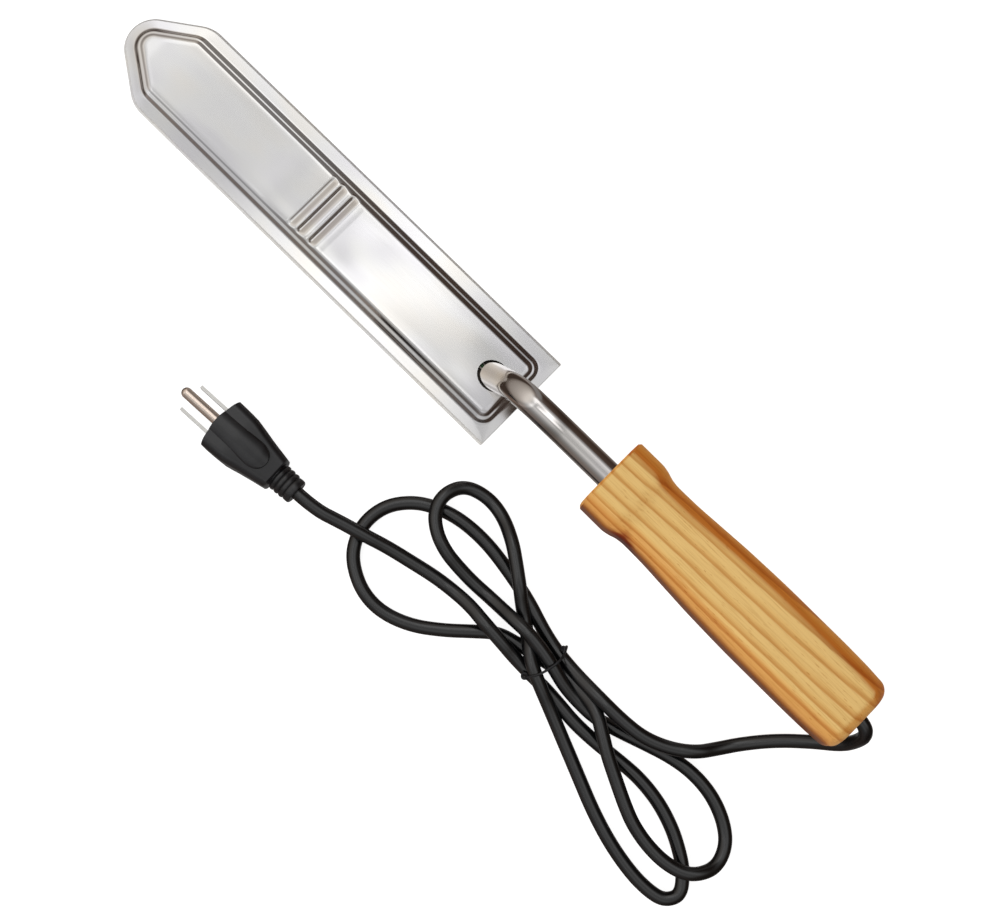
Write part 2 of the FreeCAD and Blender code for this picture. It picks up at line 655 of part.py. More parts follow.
parts = {
    "blade_base": make_blade_base(),
    "blade_cover": make_blade_cover(),
    "heater_core": make_heater_core(),
    "heater_winding": make_heater_winding(),
    "heater_return": make_heater_return(),
    "mica_lower": mica_sheet(BASE_SHEET, THERMOSTAT_X[1] + 1),
    "mica_upper": mica_sheet(UPPER_MICA_Z, HEATER_REAR),
    "insulation_pad": make_insulation_pad(),
    "thermostat": make_thermostat(),
    "thermostat_front_terminal": thermostat_terminal(THERMOSTAT_X[0], -1),
    "thermostat_rear_terminal": thermostat_terminal(THERMOSTAT_X[1], 1),
    "neck_bracket": make_neck_bracket(),
    "neck_tube": make_neck_tube(),
    "tube_liner": make_tube_liner(),
    "ground_lug": make_ground_lug(),
    "ground_rivet": make_ground_rivet(),
    "line_lead": lead_wire(0, [(-17, -4.3, 3.0), (-11, -0.8, 3.0)]),
    "neutral_lead": lead_wire(1, [(-45, NEUTRAL_END_Y, 2.7), (-30, 4, 3.0), (-21, 0.8, 3.0)]),
    "ground_lead": lead_wire(2, [(GROUND_X, 3.0, 4.5), (GROUND_X, 0, 4.5)]),
    "splice_connectors": make_splices(),
    "handle": make_handle(),
    "handle_screw": make_handle_screw(),
    "cord_core_line": core_wire(0),
    "cord_core_neutral": core_wire(1),
    "cord_core_ground": core_wire(2),
    "cord_end_in_handle": cylinder(CORD_DIAMETER / 2, (STUB_START, 0, AXIS_Z), (REAR_X, 0, AXIS_Z)),
    "cord_stop": ring_on_axis(STOP_RADIUS, GROMMET_START - STOP_LENGTH, GROMMET_START),
    "cord_grommet": ring_on_axis(CHAMBER_RADIUS, GROMMET_START, REAR_X),
    "cord_hank": make_hank(),
    "cord_tie": make_tie(),
    "plug_body": turned_with_plug(make_plug_body()),
    "plug_insert": turned_with_plug(make_plug_insert()),
    "plug_line_blade": turned_with_plug(make_flat_pin(PLUG_Y + BLADE_SPACING / 2)),
    "plug_neutral_blade": turned_with_plug(make_flat_pin(PLUG_Y - BLADE_SPACING / 2)),
    "plug_ground_pin": turned_with_plug(make_ground_pin()),
}

# Free stretches of the cord end where they meet the hank.
parts["cord_handle_lead"] = cord_tube("cord_handle_lead", HANDLE_LEAD_ROUTE).cut(parts["cord_hank"])
plug_route = PLUG_LEAD_ROUTE + [on_plug_axis(PLUG_END_X + PLUG_LEAD_STRAIGHT), on_plug_axis(PLUG_END_X)]
parts["cord_plug_lead"] = cord_tube("cord_plug_lead", plug_route).cut(parts["cord_hank"])

# Pieces that pass through another piece: the outer one gets the hole.
THROUGH = {
    "neck_tube": ["handle_screw"],
    "tube_liner": ["handle_screw"],
    "mica_upper": ["heater_return"],
    "insulation_pad": ["heater_return"],
    "neck_bracket": ["ground_rivet"],
    "ground_lug": ["ground_rivet", "ground_lead"],
    "thermostat_rear_terminal": ["line_lead"],
    "plug_insert": ["plug_line_blade", "plug_neutral_blade", "plug_ground_pin"],
    "plug_body": ["plug_insert", "plug_line_blade", "plug_neutral_blade", "plug_ground_pin"],
}
whole = dict(parts)
for outer, inners in THROUGH.items():
    for inner in inners:
        parts[outer] = parts[outer].cut(whole[inner])

os.makedirs("parts", exist_ok=True)
for name, shape in parts.items():
    solids = shape.Solids
    solid = solids[0] if len(solids) == 1 else Part.makeCompound(solids)
    solid.exportStep("parts/" + name + ".step")
    bounds = solid.optimalBoundingBox(False)
    print(name, "solids", len(solids), "valid", solid.isValid(), "volume", round(solid.Volume, 1),
          "x", round(bounds.XMin, 1), round(bounds.XMax, 1), "y", round(bounds.YMin, 1),
          round(bounds.YMax, 1), "z", round(bounds.ZMin, 2), round(bounds.ZMax, 2))
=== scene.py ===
"""Looks for an electric honey uncapping knife: a heated steel blade on a bent tube, a wooden handle, and a
black mains lead lying in a tied coil with a three-pin plug. Lengths are millimetres unless said otherwise."""

import json
import math

import bmesh
import bpy
import numpy as np
from mathutils import Matrix, Vector


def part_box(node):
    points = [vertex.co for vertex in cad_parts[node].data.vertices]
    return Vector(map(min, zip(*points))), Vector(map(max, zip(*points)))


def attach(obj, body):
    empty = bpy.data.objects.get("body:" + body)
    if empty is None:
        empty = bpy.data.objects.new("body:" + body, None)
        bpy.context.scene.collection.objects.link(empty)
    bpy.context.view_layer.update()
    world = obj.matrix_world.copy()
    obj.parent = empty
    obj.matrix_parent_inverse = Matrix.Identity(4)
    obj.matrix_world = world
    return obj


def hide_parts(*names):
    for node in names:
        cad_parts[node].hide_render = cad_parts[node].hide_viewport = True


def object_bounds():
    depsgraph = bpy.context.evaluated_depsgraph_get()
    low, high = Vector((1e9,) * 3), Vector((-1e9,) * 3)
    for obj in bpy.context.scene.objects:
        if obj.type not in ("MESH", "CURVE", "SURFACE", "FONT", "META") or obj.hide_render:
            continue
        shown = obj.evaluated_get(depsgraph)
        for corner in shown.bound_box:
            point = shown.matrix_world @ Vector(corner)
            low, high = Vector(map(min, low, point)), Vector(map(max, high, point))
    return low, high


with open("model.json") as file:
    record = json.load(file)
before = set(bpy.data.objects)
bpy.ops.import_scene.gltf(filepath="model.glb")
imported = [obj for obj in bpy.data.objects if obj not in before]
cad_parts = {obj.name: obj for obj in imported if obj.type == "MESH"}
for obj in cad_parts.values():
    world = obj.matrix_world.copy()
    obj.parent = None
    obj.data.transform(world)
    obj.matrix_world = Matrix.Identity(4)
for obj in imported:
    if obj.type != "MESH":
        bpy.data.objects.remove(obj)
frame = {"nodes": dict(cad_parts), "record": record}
CAD_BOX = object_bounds()

MM = 0.001


def corners(node):
    """A CAD node's lowest and highest corner in millimetres."""
    low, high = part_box(node)
    return low / MM, high / MM


BASE_LOW, BASE_HIGH = corners("blade_base")
TUBE_LOW, TUBE_HIGH = corners("neck_tube")
HANDLE_LOW, HANDLE_HIGH = corners("handle")

# ---------------- sizes of the blade

# The shown tip is a little blunter than the CAD base's.
TIP_X = BASE_LOW.x + 0.8
HEEL_X = BASE_HIGH.x
HALF_WIDTH = BASE_HIGH.y
BASE_TOP = BASE_HIGH.z
PANEL_TOP = BASE_TOP + 5.2
COVER_SHEET = 0.8
SLANT = 35.2
TIP_RADIUS = 13.7
LEAST_TIP_RADIUS = 2.8
SHOULDER_RADIUS = 16.0
FLANGE_WIDTH = 5.7
HEEL_FLANGE = 3.5
WALL_LEAN = 0.83
# The heel corners' radius, from sharp at the edge to round at the step, at distances in from the edge.
HEEL_RADII = ((1.3, 0.6), (3.0, 1.4), (4.6, 4.4), (5.7, 6.4), (11.0, 2.2), (12.5, 1.0))
EDGE_LAND = 0.4
LAND_WIDTH = 0.65
COVER_EDGE = 1.3
PANEL_INSET = 12.5
# The cover's slope in degrees, at distances in from the blade's edge: flange, step, ledge, step, panel.
WALL_SLOPES = (
    (COVER_EDGE, 4), (5.9, 4), (6.8, 52), (7.5, 52), (8.2, 11), (8.8, 11),
    (9.3, 46), (10.0, 46), (11.2, 10), (PANEL_INSET, 0),
)
# In the blade's front half the inner step is lower.
FRONT_WALL_SLOPES = WALL_SLOPES[:6] + ((9.4, 33), (9.8, 33), (10.9, 6), (PANEL_INSET, 0))
# Round the nose the outer step is gentler as well.
NOSE_WALL_SLOPES = (
    (COVER_EDGE, 4), (5.7, 4), (6.5, 42), (7.65, 42), (8.3, 11), (8.8, 11),
) + FRONT_WALL_SLOPES[6:]
# Where each of those gives way to the next, as distances back from the tip.
NOSE_ENDS = (9.0, 17.0)
FRONT_ENDS = (96.0, 126.0)
# Distances in from the edge at which the cover has a ring of points, above and on its hidden underside.
WALL_RINGS = (
    COVER_EDGE, 3.0, 4.6, 5.4, 5.9, 6.2, 6.5, 6.8, 7.15, 7.5, 7.85, 8.2, 8.5, 8.8, 9.05, 9.3, 9.65, 10.0,
    10.4, 10.8, 11.2, 11.8, PANEL_INSET,
)
UNDER_RINGS = (8.1, 9.1, 10.7, 12.3)
# Round the tip the step starts nearer the edge.
TIP_CROWDING = 1.1
# The cover sits a little askew on the base: its shift toward +Y at the tip and at the heel.
COVER_SHIFT = (-0.15, -0.65)
# The pressed ribs across the panel: slope in degrees, at distances back from the tip of the CAD base.
RIB_SLOPES = (
    (112.8, 0), (113.3, -30), (113.7, -40), (114.1, -34), (114.5, 6), (114.9, 16), (115.8, 19), (116.8, 17),
    (117.5, 6), (118.0, 0), (118.4, -24), (118.7, -50), (119.3, -52), (119.7, -10), (120.0, 20),
    (120.4, 22.5), (121.2, 20.5), (122.0, 18.5), (122.8, 10), (123.5, 4), (124.2, 0.5), (124.8, 0),
    (125.2, -12), (125.6, -44), (126.4, -48), (126.8, 0), (127.1, 22), (127.6, 23.5), (128.3, 21.5),
    (129.2, 22), (129.8, 12), (130.4, 0), (130.8, -1.2), (131.5, -1), (132.5, -0.3), (134.0, 0),
)
# The ribs fade out between these distances from the blade's middle.
RIB_FADE = (12.4, 15.0)
# The slight unevenness of the pressed sheet: long and short waves, and a twist that starts at the ribs.
LONG_WAVE = 0.10
SHORT_WAVE = 0.05
TWIST = 0.0005
TWIST_CENTRE = 172.0
# How many steps each run of the blade's edge has: tip and corners, slant, front, ribs, rear.
TIP_STEPS = 12
CORNER_STEPS = 8
SLANT_STEPS = 10
FRONT_STEPS = 22
RIB_STEPS = 70
REAR_STEPS = 28
PANEL_COLUMNS = 36
# The soft mat under the panel: points across and along, and its gap to the cover.
MAT_COLUMNS = 24
MAT_ROWS = 283
MAT_GAP = 0.1

# ---------------- sizes of the neck and the handle

TUBE_RADIUS = TUBE_HIGH.y
TUBE_WALL = 1.0
AXIS_Z = (HANDLE_LOW.z + HANDLE_HIGH.z) / 2
# Where the tube's middle meets the panel, its lean there and the radius of its bend.
NECK_X = 8.0
NECK_ANGLE = 60.0
NECK_BEND = 20.0
# The bend starts slowly at the handle's side: this many degrees over this length.
EASE_ANGLE = 5.0
EASE_LENGTH = 17.0
EASE_STEPS = 20
BEND_STEPS = 30
FOOT_STEPS = 14
STRAIGHT_STEPS = 30
# Bending flattens a tube a little on its outer side and widens it.
BEND_FLATTENING = 0.35
BEND_WIDENING = 0.12
TUBE_SIDES = 72
# The hole for the tube in the panel, its middle's shift from the tube's, and how far its cutter reaches.
NECK_HOLE_RADIUS = 6.55
NECK_HOLE_SHIFT = (-0.2, -0.1)
NECK_HOLE_BELOW = 5.5
NECK_HOLE_ABOVE = 6.0
FRONT_X = HANDLE_LOW.x
REAR_X = HANDLE_HIGH.x
# The handle's half width and half height at distances back from its front face.
HANDLE_SECTIONS = (
    (0, 17.7, 12.6), (1, 18.5, 13.4), (13, 18.5, 13.4), (16.5, 18.0, 13.1), (20.5, 16.9, 12.4),
    (24.5, 16.5, 12.1), (33, 16.6, 12.1), (49, 17.4, 12.4), (65, 18.2, 12.8), (90, 18.7, 13.2),
    (114, 18.7, 13.2), (128, 18.5, 13.0), (137.5, 18.0, 12.8), (143, 17.8, 12.7),
)
# Its corners' radius, and how much smaller they get where the rear rounds off.
HANDLE_CORNER = 8.5
HANDLE_CORNER_LOSS = 2.5
HANDLE_CORNER_STEPS = 14
HANDLE_SIDE_STEPS = 6
REAR_ROUND = 5.5
REAR_ROUND_SIDE = 4.0
# Hand shaping leaves the handle's rear a little off the tube's line.
HANDLE_SKEW = 1.0
SKEW_CENTRE = 0.35
FRONT_BORE = 6.05
REAR_BORE = 6.5
BORE_DEPTH = 12.0
SCREW_WELL_RADIUS = 3.3
SCREW_WELL_BACK = 22.0
SCREW_WELL_DEPTH = 5.5
# How far the well's cutter starts outside the wood.
CUT_PAST = 3.0

# ---------------- meshes

# Edges sharper than this many degrees stay crisp.
SHARP_EDGE = 32.0


def placed(name, data):
    """A new object in the scene."""
    piece = bpy.data.objects.new(name, data)
    bpy.context.scene.collection.objects.link(piece)
    return piece


def dress(shape, look):
    """Gives a mesh or curve one material."""
    shape.materials.clear()
    shape.materials.append(look)


def shown(name, shape, look, slot, *nodes):
    """Puts a finished mesh or curve in the scene, riding on the knife, in place of the CAD nodes."""
    dress(shape, look)
    piece = placed(name, shape)
    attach(piece, "root")
    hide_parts(*nodes)
    return piece


def smooth(mesh, sharp):
    for face in mesh.polygons:
        face.use_smooth = True
    mesh.set_sharp_from_angle(angle=math.radians(sharp))
    return mesh


def solid_mesh(name, points, faces, sharp=SHARP_EDGE):
    """A closed mesh from points in millimetres, smooth except across edges sharper than sharp degrees."""
    mesh = bpy.data.meshes.new(name)
    mesh.from_pydata([Vector(p) * MM for p in points], [], faces)
    edit = bmesh.new()
    edit.from_mesh(mesh)
    bmesh.ops.remove_doubles(edit, verts=edit.verts, dist=0.002 * MM)
    bmesh.ops.dissolve_degenerate(edit, edges=edit.edges, dist=0.001 * MM)
    bmesh.ops.recalc_face_normals(edit, faces=edit.faces)
    edit.to_mesh(mesh)
    edit.free()
    return smooth(mesh, sharp)


def joined_rings(count, size, closed=False):
    """Faces between rings of the same size, laid one after another in the point list."""
    faces = []
    last = count if closed else count - 1
    for ring in range(last):
        a = ring * size
        b = ((ring + 1) % count) * size
        for i in range(size):
            j = (i + 1) % size
            faces.append((a + i, a + j, b + j, b + i))
    return faces


def loft(name, rings, sharp=SHARP_EDGE, closed=False):
    """A closed mesh through rings of the same size: capped at its two ends, or closed on itself."""
    points = [point for one in rings for point in one]
    size = len(rings[0])
    faces = joined_rings(len(rings), size, closed)
    if not closed:
        faces.append(tuple(range(size)))
        faces.append(tuple(range(len(points) - size, len(points))))
    return solid_mesh(name, points, faces, sharp)


def carve(mesh, cutter):
    """Cuts one closed mesh out of another and gives the new mesh."""
    body = placed("carved", mesh)
    tool = placed("cutter", cutter)
    cut = body.modifiers.new("cut", "BOOLEAN")
    cut.operation = "DIFFERENCE"
    cut.solver = "EXACT"
    cut.object = tool
    bpy.context.view_layer.update()
    result = bpy.data.meshes.new_from_object(body.evaluated_get(bpy.context.evaluated_depsgraph_get()))
    for piece in (body, tool):
        bpy.data.objects.remove(piece)
    return smooth(result, SHARP_EDGE)


def rod(start, end, radius, sides=48):
    """A plain closed cylinder between two points, for cutting with."""
    start, end = Vector(start), Vector(end)
    along = (end - start).normalized()
    across = along.cross(Vector((0, 1, 0))).normalized()
    other = along.cross(across)
    spokes = []
    for i in range(sides):
        turn = 2 * math.pi * i / sides
        spokes.append((across * radius * math.cos(turn), other * radius * math.sin(turn)))
    return loft("rod", [[middle + a + b for a, b in spokes] for middle in (start, end)])


def arc(x, y, radius, start, end, steps):
    """Points of a circular arc between two angles in degrees, both ends included."""
    turns = np.radians(np.linspace(start, end, steps + 1))
    return [(x + radius * math.cos(t), y + radius * math.sin(t)) for t in turns]


def between(first, last, steps):
    """The points inside a straight run, without its ends."""
    return [tuple(np.array(first) + (np.array(last) - np.array(first)) * i / steps) for i in range(1, steps)]


def rounded_section(half_y, half_z, corner, corner_steps, side_steps):
    """A rounded rectangle round the origin, as (across, above) points."""
    points = []
    for side_y, side_z, start in ((1, 1, 0), (-1, 1, 90), (-1, -1, 180), (1, -1, 270)):
        centre = (side_y * (half_y - corner), side_z * (half_z - corner))
        points += arc(*centre, corner, start, start + 90, corner_steps)
        across, above = points[-1]
        mirrored = (-across, above) if start in (0, 180) else (across, -above)
        points += between((across, above), mirrored, side_steps)
    return points


def heights(slopes, step=0.05):
    """A function that gives the height reached along a profile whose slopes are known in degrees."""
    places, angles = zip(*slopes)
    run = np.arange(places[0], places[-1] + step, step)
    rise = np.tan(np.radians(np.interp(run, places, angles)))
    total = np.concatenate(([0.0], np.cumsum((rise[1:] + rise[:-1]) / 2 * step)))
    return lambda place: float(np.interp(place, run, total))


def smooth_step(value, start, end):
    """From 0 at start to 1 at end, level at both."""
    share = min(max((value - start) / (end - start), 0.0), 1.0)
    return share * share * (3 - 2 * share)


# ---------------- the blade

wall_height = heights(WALL_SLOPES)
front_wall_height = heights(FRONT_WALL_SLOPES)
nose_wall_height = heights(NOSE_WALL_SLOPES)
rib_height = heights(RIB_SLOPES)
RIB_START, RIB_END = RIB_SLOPES[0][0], RIB_SLOPES[-1][0]
RIB_NET = rib_height(RIB_END)


def cover_height(inset, x):
    """Height of the cover's upper side, before ribs and warp."""
    share = smooth_step(x - TIP_X, *FRONT_ENDS)
    nose = 1 - smooth_step(x - TIP_X, *NOSE_ENDS)
    front = nose_wall_height(inset) * nose + front_wall_height(inset) * (1 - nose)
    rise = wall_height(inset) * share + front * (1 - share)
    return PANEL_TOP - wall_height(PANEL_INSET) + rise


def panel_lift(x, y):
    """Ribs, and the slight unevenness that pressing leaves in thin sheet."""
    back = x - BASE_LOW.x
    share = (back - RIB_START) / (RIB_END - RIB_START)
    rib = 0.0
    if 0 < share < 1:
        rib = rib_height(back) - RIB_NET * share
    rib *= 1 - smooth_step(abs(y), *RIB_FADE)
    warp = LONG_WAVE * math.sin(back / 31.0 + 0.6) * math.cos(y / 9.5)
    warp += SHORT_WAVE * math.sin(back / 13.0 - y / 11.0 + 1.1)
    warp += TWIST * (back - TWIST_CENTRE) * y * smooth_step(back, 135.0, 150.0)
    warp *= 1 - smooth_step(abs(y), 8.0, 12.5)
    warp *= smooth_step(back, 12.0, 45.0) * (1 - smooth_step(back, 205.0, 228.0))
    return rib + warp


def half_outline(inset):
    """The blade's +Y edge from the tip round to the heel corner, moved in by inset."""
    slant = math.radians(SLANT)
    half = HALF_WIDTH - inset
    sharp_tip = TIP_X + TIP_RADIUS - TIP_RADIUS / math.sin(slant)
    tip_inset = inset - TIP_CROWDING * smooth_step(inset, 2.0, 6.2)
    apex = sharp_tip + tip_inset / math.sin(slant)
    tip_radius = max(TIP_RADIUS - tip_inset, LEAST_TIP_RADIUS)
    shoulder_radius = SHOULDER_RADIUS - inset
    shoulder = apex + half / math.tan(slant) + shoulder_radius * math.tan(slant / 2)
    heel_inset = float(np.interp(inset, (COVER_EDGE, FLANGE_WIDTH), (0, HEEL_FLANGE)))
    heel_radius = float(np.interp(inset, *zip(*HEEL_RADII)))
    if inset > FLANGE_WIDTH:
        heel_inset += (inset - FLANGE_WIDTH) * WALL_LEAN
    heel = HEEL_X - heel_inset
    tip = arc(apex + tip_radius / math.sin(slant), 0, tip_radius, 180, 90 + SLANT, TIP_STEPS)
    bend = arc(shoulder, half - shoulder_radius, shoulder_radius, 90 + SLANT, 90, CORNER_STEPS)
    corner = arc(heel - heel_radius, half - heel_radius, heel_radius, 90, 0, CORNER_STEPS)
    rib_start = (BASE_LOW.x + RIB_START - 0.5, half)
    rib_end = (BASE_LOW.x + RIB_END + 0.5, half)
    edge = tip + between(tip[-1], bend[0], SLANT_STEPS) + bend
    edge += between(bend[-1], rib_start, FRONT_STEPS) + [rib_start]
    edge += between(rib_start, rib_end, RIB_STEPS) + [rib_end]
    edge += between(rib_end, corner[0], REAR_STEPS) + corner
    return edge


def settled(x, y, inset, height, lifted):
    """A point of a plate. height is a plain number, or a function of inset and x for the cover."""
    if callable(height):
        z = height(inset, x)
        share = min(max((x - TIP_X) / (HEEL_X - TIP_X), 0.0), 1.0)
        shift = COVER_SHIFT[0] + (COVER_SHIFT[1] - COVER_SHIFT[0]) * share
        moved = y + shift * smooth_step(inset, 3.0, 6.0)
        return (x, moved, z + (panel_lift(x, y) if lifted else 0.0))
    return (x, y, height)


def ring(inset, height, lifted):
    """All round the blade: up the +Y side, across the heel and back down the -Y side."""
    edge = half_outline(inset)
    heel_x, heel_y = edge[-1]
    heel = between((heel_x, heel_y), (heel_x, -heel_y), PANEL_COLUMNS)
    flat = edge + heel + [(x, -y) for x, y in reversed(edge[1:])]
    return [settled(x, y, inset, height, lifted) for x, y in flat]


def middle(inset, height, lifted):
    """The filled middle of a plate: rows across the blade from tip to heel."""
    points, faces = [], []
    for x, y in half_outline(inset):
        for column in range(PANEL_COLUMNS + 1):
            side = y * (1 - 2 * column / PANEL_COLUMNS)
            points.append(settled(x, side, inset, height, lifted))
    wide = PANEL_COLUMNS + 1
    for row in range(len(points) // wide - 1):
        for column in range(PANEL_COLUMNS):
            a = row * wide + column
            faces.append((a, a + 1, a + wide + 1, a + wide))
    return points, faces


def plate(name, upper, lower, sharp, lifted=False):
    """A closed plate. upper and lower list (inset, height) from the edge in to a filled middle."""
    rings = [ring(inset, height, lifted) for inset, height in reversed(upper)]
    rings += [ring(inset, height, lifted and inset > FLANGE_WIDTH) for inset, height in lower]
    points = [p for one in rings for p in one]
    faces = joined_rings(len(rings), len(rings[0]))
    for inset, height in (upper[-1], lower[-1]):
        more, fills = middle(inset, height, lifted)
        faces += [tuple(len(points) + i for i in face) for face in fills]
        points += more
    return solid_mesh(name, points, faces, sharp)


def under_cover(inset, x):
    """Height of the cover's hidden underside."""
    return cover_height(inset - 0.3, x) - COVER_SHEET


def make_blade(base_look, cover_look):
    base = plate("blade_base_sheet", ((0, EDGE_LAND), (LAND_WIDTH, BASE_TOP)), ((0, 0),), 25)
    shown("blade_base_sheet", base, base_look, "blade_steel", "blade_base")
    upper = [(inset, cover_height) for inset in WALL_RINGS]
    lower = [(COVER_EDGE, BASE_TOP), (FLANGE_WIDTH, BASE_TOP)]
    lower += [(inset, under_cover) for inset in UNDER_RINGS]
    cover = plate("blade_cover_sheet", upper, lower, 60, lifted=True)
    lean = math.radians(NECK_ANGLE)
    along = Vector((math.cos(lean), 0, math.sin(lean)))
    hole = Vector((NECK_X + NECK_HOLE_SHIFT[0], NECK_HOLE_SHIFT[1], PANEL_TOP))
    cutter = rod(hole - along * NECK_HOLE_BELOW, hole + along * NECK_HOLE_ABOVE, NECK_HOLE_RADIUS)
    cover = carve(cover, cutter)
    shown("blade_cover_sheet", cover, cover_look, "blade_steel", "blade_cover")


def make_insulation(look):
    """The soft mat under the panel, which the ribs press down."""
    low, high = corners("insulation_pad")
    across = np.linspace(low.y, high.y, MAT_COLUMNS)
    rows = np.linspace(low.x, high.x, MAT_ROWS)
    rings = []
    for x in rows:
        one = []
        for y in across:
            top = cover_height(min(HALF_WIDTH - abs(y), PANEL_INSET), x) + panel_lift(x, y)
            one.append((x, y, min(high.z, top - COVER_SHEET - MAT_GAP)))
        rings.append(one + [(x, high.y, low.z), (x, low.y, low.z)])
    shown("insulation_mat", loft("insulation_mat", rings), look, "glass_fibre", "insulation_pad")


# ---------------- the neck tube


def neck_line():
    """Points and directions down the middle of the tube, from inside the blade to inside the handle."""
    lean = math.radians(NECK_ANGLE)
    ease = math.radians(EASE_ANGLE)
    # Backward from where the tube runs straight into the handle: a slow start, then the bend itself.
    steps = [(EASE_LENGTH / EASE_STEPS, ease * i / EASE_STEPS) for i in range(1, EASE_STEPS + 1)]
    sharper = lean - ease
    for i in range(1, BEND_STEPS + 1):
        steps.append((NECK_BEND * sharper / BEND_STEPS, ease + sharper * i / BEND_STEPS))
    course = [(Vector((0, 0, AXIS_Z)), 0.0)]
    for length, turn in steps:
        halfway = (turn + course[-1][1]) / 2
        course.append((course[-1][0] - Vector((math.cos(halfway), 0, math.sin(halfway))) * length, turn))
    bend_start = course[-1][0]
    shift = Vector((NECK_X + (bend_start.z - PANEL_TOP) / math.tan(lean) - bend_start.x, 0, 0))
    low_z = TUBE_LOW.z + TUBE_RADIUS * math.cos(lean)
    foot = Vector((NECK_X - (PANEL_TOP - low_z) / math.tan(lean), 0, low_z))
    line = [(foot.lerp(bend_start + shift, i / FOOT_STEPS), lean) for i in range(FOOT_STEPS)]
    line += [(place + shift, turn) for place, turn in reversed(course)]
    straight = line[-1][0]
    end = Vector((TUBE_HIGH.x, 0, AXIS_Z))
    line += [(straight.lerp(end, i / STRAIGHT_STEPS), 0.0) for i in range(1, STRAIGHT_STEPS + 1)]
    return line


def make_neck(look):
    """The tube's outer wall from foot to end, then its inner wall back again, as one closed skin."""
    line = neck_line()
    lean = math.radians(NECK_ANGLE)
    rings = []
    for inner in (False, True):
        course = reversed(line) if inner else line
        radius = TUBE_RADIUS - TUBE_WALL if inner else TUBE_RADIUS
        for place, turn in course:
            outward = Vector((-math.sin(turn), 0, math.cos(turn)))
            bent = math.sin(math.pi * turn / lean) ** 2 if 0 < turn < lean else 0.0
            one = []
            for i in range(TUBE_SIDES):
                angle = 2 * math.pi * i / TUBE_SIDES
                out = math.cos(angle)
                squeeze = BEND_FLATTENING * bent * max(out, 0) ** 2
                side = Vector((0, 1, 0)) * math.sin(angle) * (radius + BEND_WIDENING * bent)
                one.append(place + outward * out * (radius - squeeze) + side)
            rings.append(one)
    mesh = loft("neck_tube_wall", rings, 40, closed=True)
    shown("neck_tube_wall", mesh, look, "tube_steel", "neck_tube")


# ---------------- the handle


def spline(rows, place):
    """A smooth value through given rows of (place, value): cubic pieces with flattened slopes."""
    places, values = (np.array(column, float) for column in zip(*rows))
    steps = np.diff(values) / np.diff(places)
    slopes = np.zeros(len(places))
    for i in range(1, len(places) - 1):
        if steps[i - 1] * steps[i] > 0:
            slopes[i] = 2 / (1 / steps[i - 1] + 1 / steps[i])
    i = min(max(int(np.searchsorted(places, place, "right")) - 1, 0), len(places) - 2)
    wide = places[i + 1] - places[i]
    t = (place - places[i]) / wide
    start = (1 + 2 * t) * (1 - t) ** 2 * values[i] + t * (1 - t) ** 2 * wide * slopes[i]
    end = t * t * (3 - 2 * t) * values[i + 1] + t * t * (t - 1) * wide * slopes[i + 1]
    return start + end


def bore_ring(x, radius, outline):
    """A round ring whose points face the points of an outer section."""
    turns = [math.atan2(z - AXIS_Z, y) for _, y, z in outline]
    return [(x, radius * math.cos(t), AXIS_Z + radius * math.sin(t)) for t in turns]


def make_handle(look):
    """The wood as rings from its front face to its rounded rear, then in along the two bores."""
    length = REAR_X - FRONT_X
    widths = [(d, w) for d, w, _ in HANDLE_SECTIONS]
    tallness = [(d, h) for d, _, h in HANDLE_SECTIONS]
    places = [0, 0.35, 0.7, 1.0] + list(np.linspace(2, length - REAR_ROUND, 90))
    places += [length - REAR_ROUND * (1 - math.sin(t)) for t in np.radians(np.linspace(9, 90, 10))]
    sections = []
    for place in places:
        left = max(REAR_ROUND - (length - place), 0.0) / REAR_ROUND
        drop = 1 - math.sqrt(max(1 - left * left, 0.0))
        half_y = spline(widths, place) - REAR_ROUND * drop
        half_z = spline(tallness, place) - REAR_ROUND_SIDE * drop
        corner = min(HANDLE_CORNER - HANDLE_CORNER_LOSS * drop, half_z - 0.5)
        skew = HANDLE_SKEW * (SKEW_CENTRE - place / length)
        flat = rounded_section(
            half_y - HANDLE_SKEW / 2, half_z, corner, HANDLE_CORNER_STEPS, HANDLE_SIDE_STEPS,
        )
        sections.append([(FRONT_X + place, y + skew, AXIS_Z + z) for y, z in flat])
    front, rear = sections[0], sections[-1]
    sections.append(bore_ring(REAR_X, REAR_BORE, rear))
    sections.append(bore_ring(REAR_X - BORE_DEPTH, REAR_BORE, rear))
    sections.append(bore_ring(FRONT_X + BORE_DEPTH, FRONT_BORE, front))
    sections.append(bore_ring(FRONT_X, FRONT_BORE, front))
    mesh = loft("handle_wood", sections, 40, closed=True)
    screw_x = FRONT_X + SCREW_WELL_BACK
    well_top = min(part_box("handle_screw")[1].z / MM - 0.5, HANDLE_LOW.z + SCREW_WELL_DEPTH)
    well = rod((screw_x, 0, HANDLE_LOW.z - CUT_PAST), (screw_x, 0, well_top), SCREW_WELL_RADIUS)
    shown("handle_wood", carve(mesh, well), look, "handle_wood", "handle").visible_glossy = False


# ---------------- the cord, in metres

CORD_DIAMETER = 0.006
# Out of the handle's rear, down to the table and back past the handle's corner to the tie.
HANDLE_LEAD = (
    (0.2175, 0, 0.034), (0.2212, -0.0004, 0.034), (0.2242, -0.0029, 0.0305), (0.2237, -0.0063, 0.024),
    (0.2212, -0.0107, 0.0175), (0.2128, -0.0172, 0.011), (0.2018, -0.0273, 0.006), (0.1927, -0.0383, 0.003),
    (0.1868, -0.0469, 0.0045), (0.1809, -0.0549, 0.0093), (0.1721, -0.0614, 0.0093),
    (0.1611, -0.066, 0.0105), (0.149, -0.0672, 0.0112), (0.136, -0.0671, 0.0108), (0.122, -0.0666, 0.0055),
    (0.1099, -0.0653, 0.003),
)
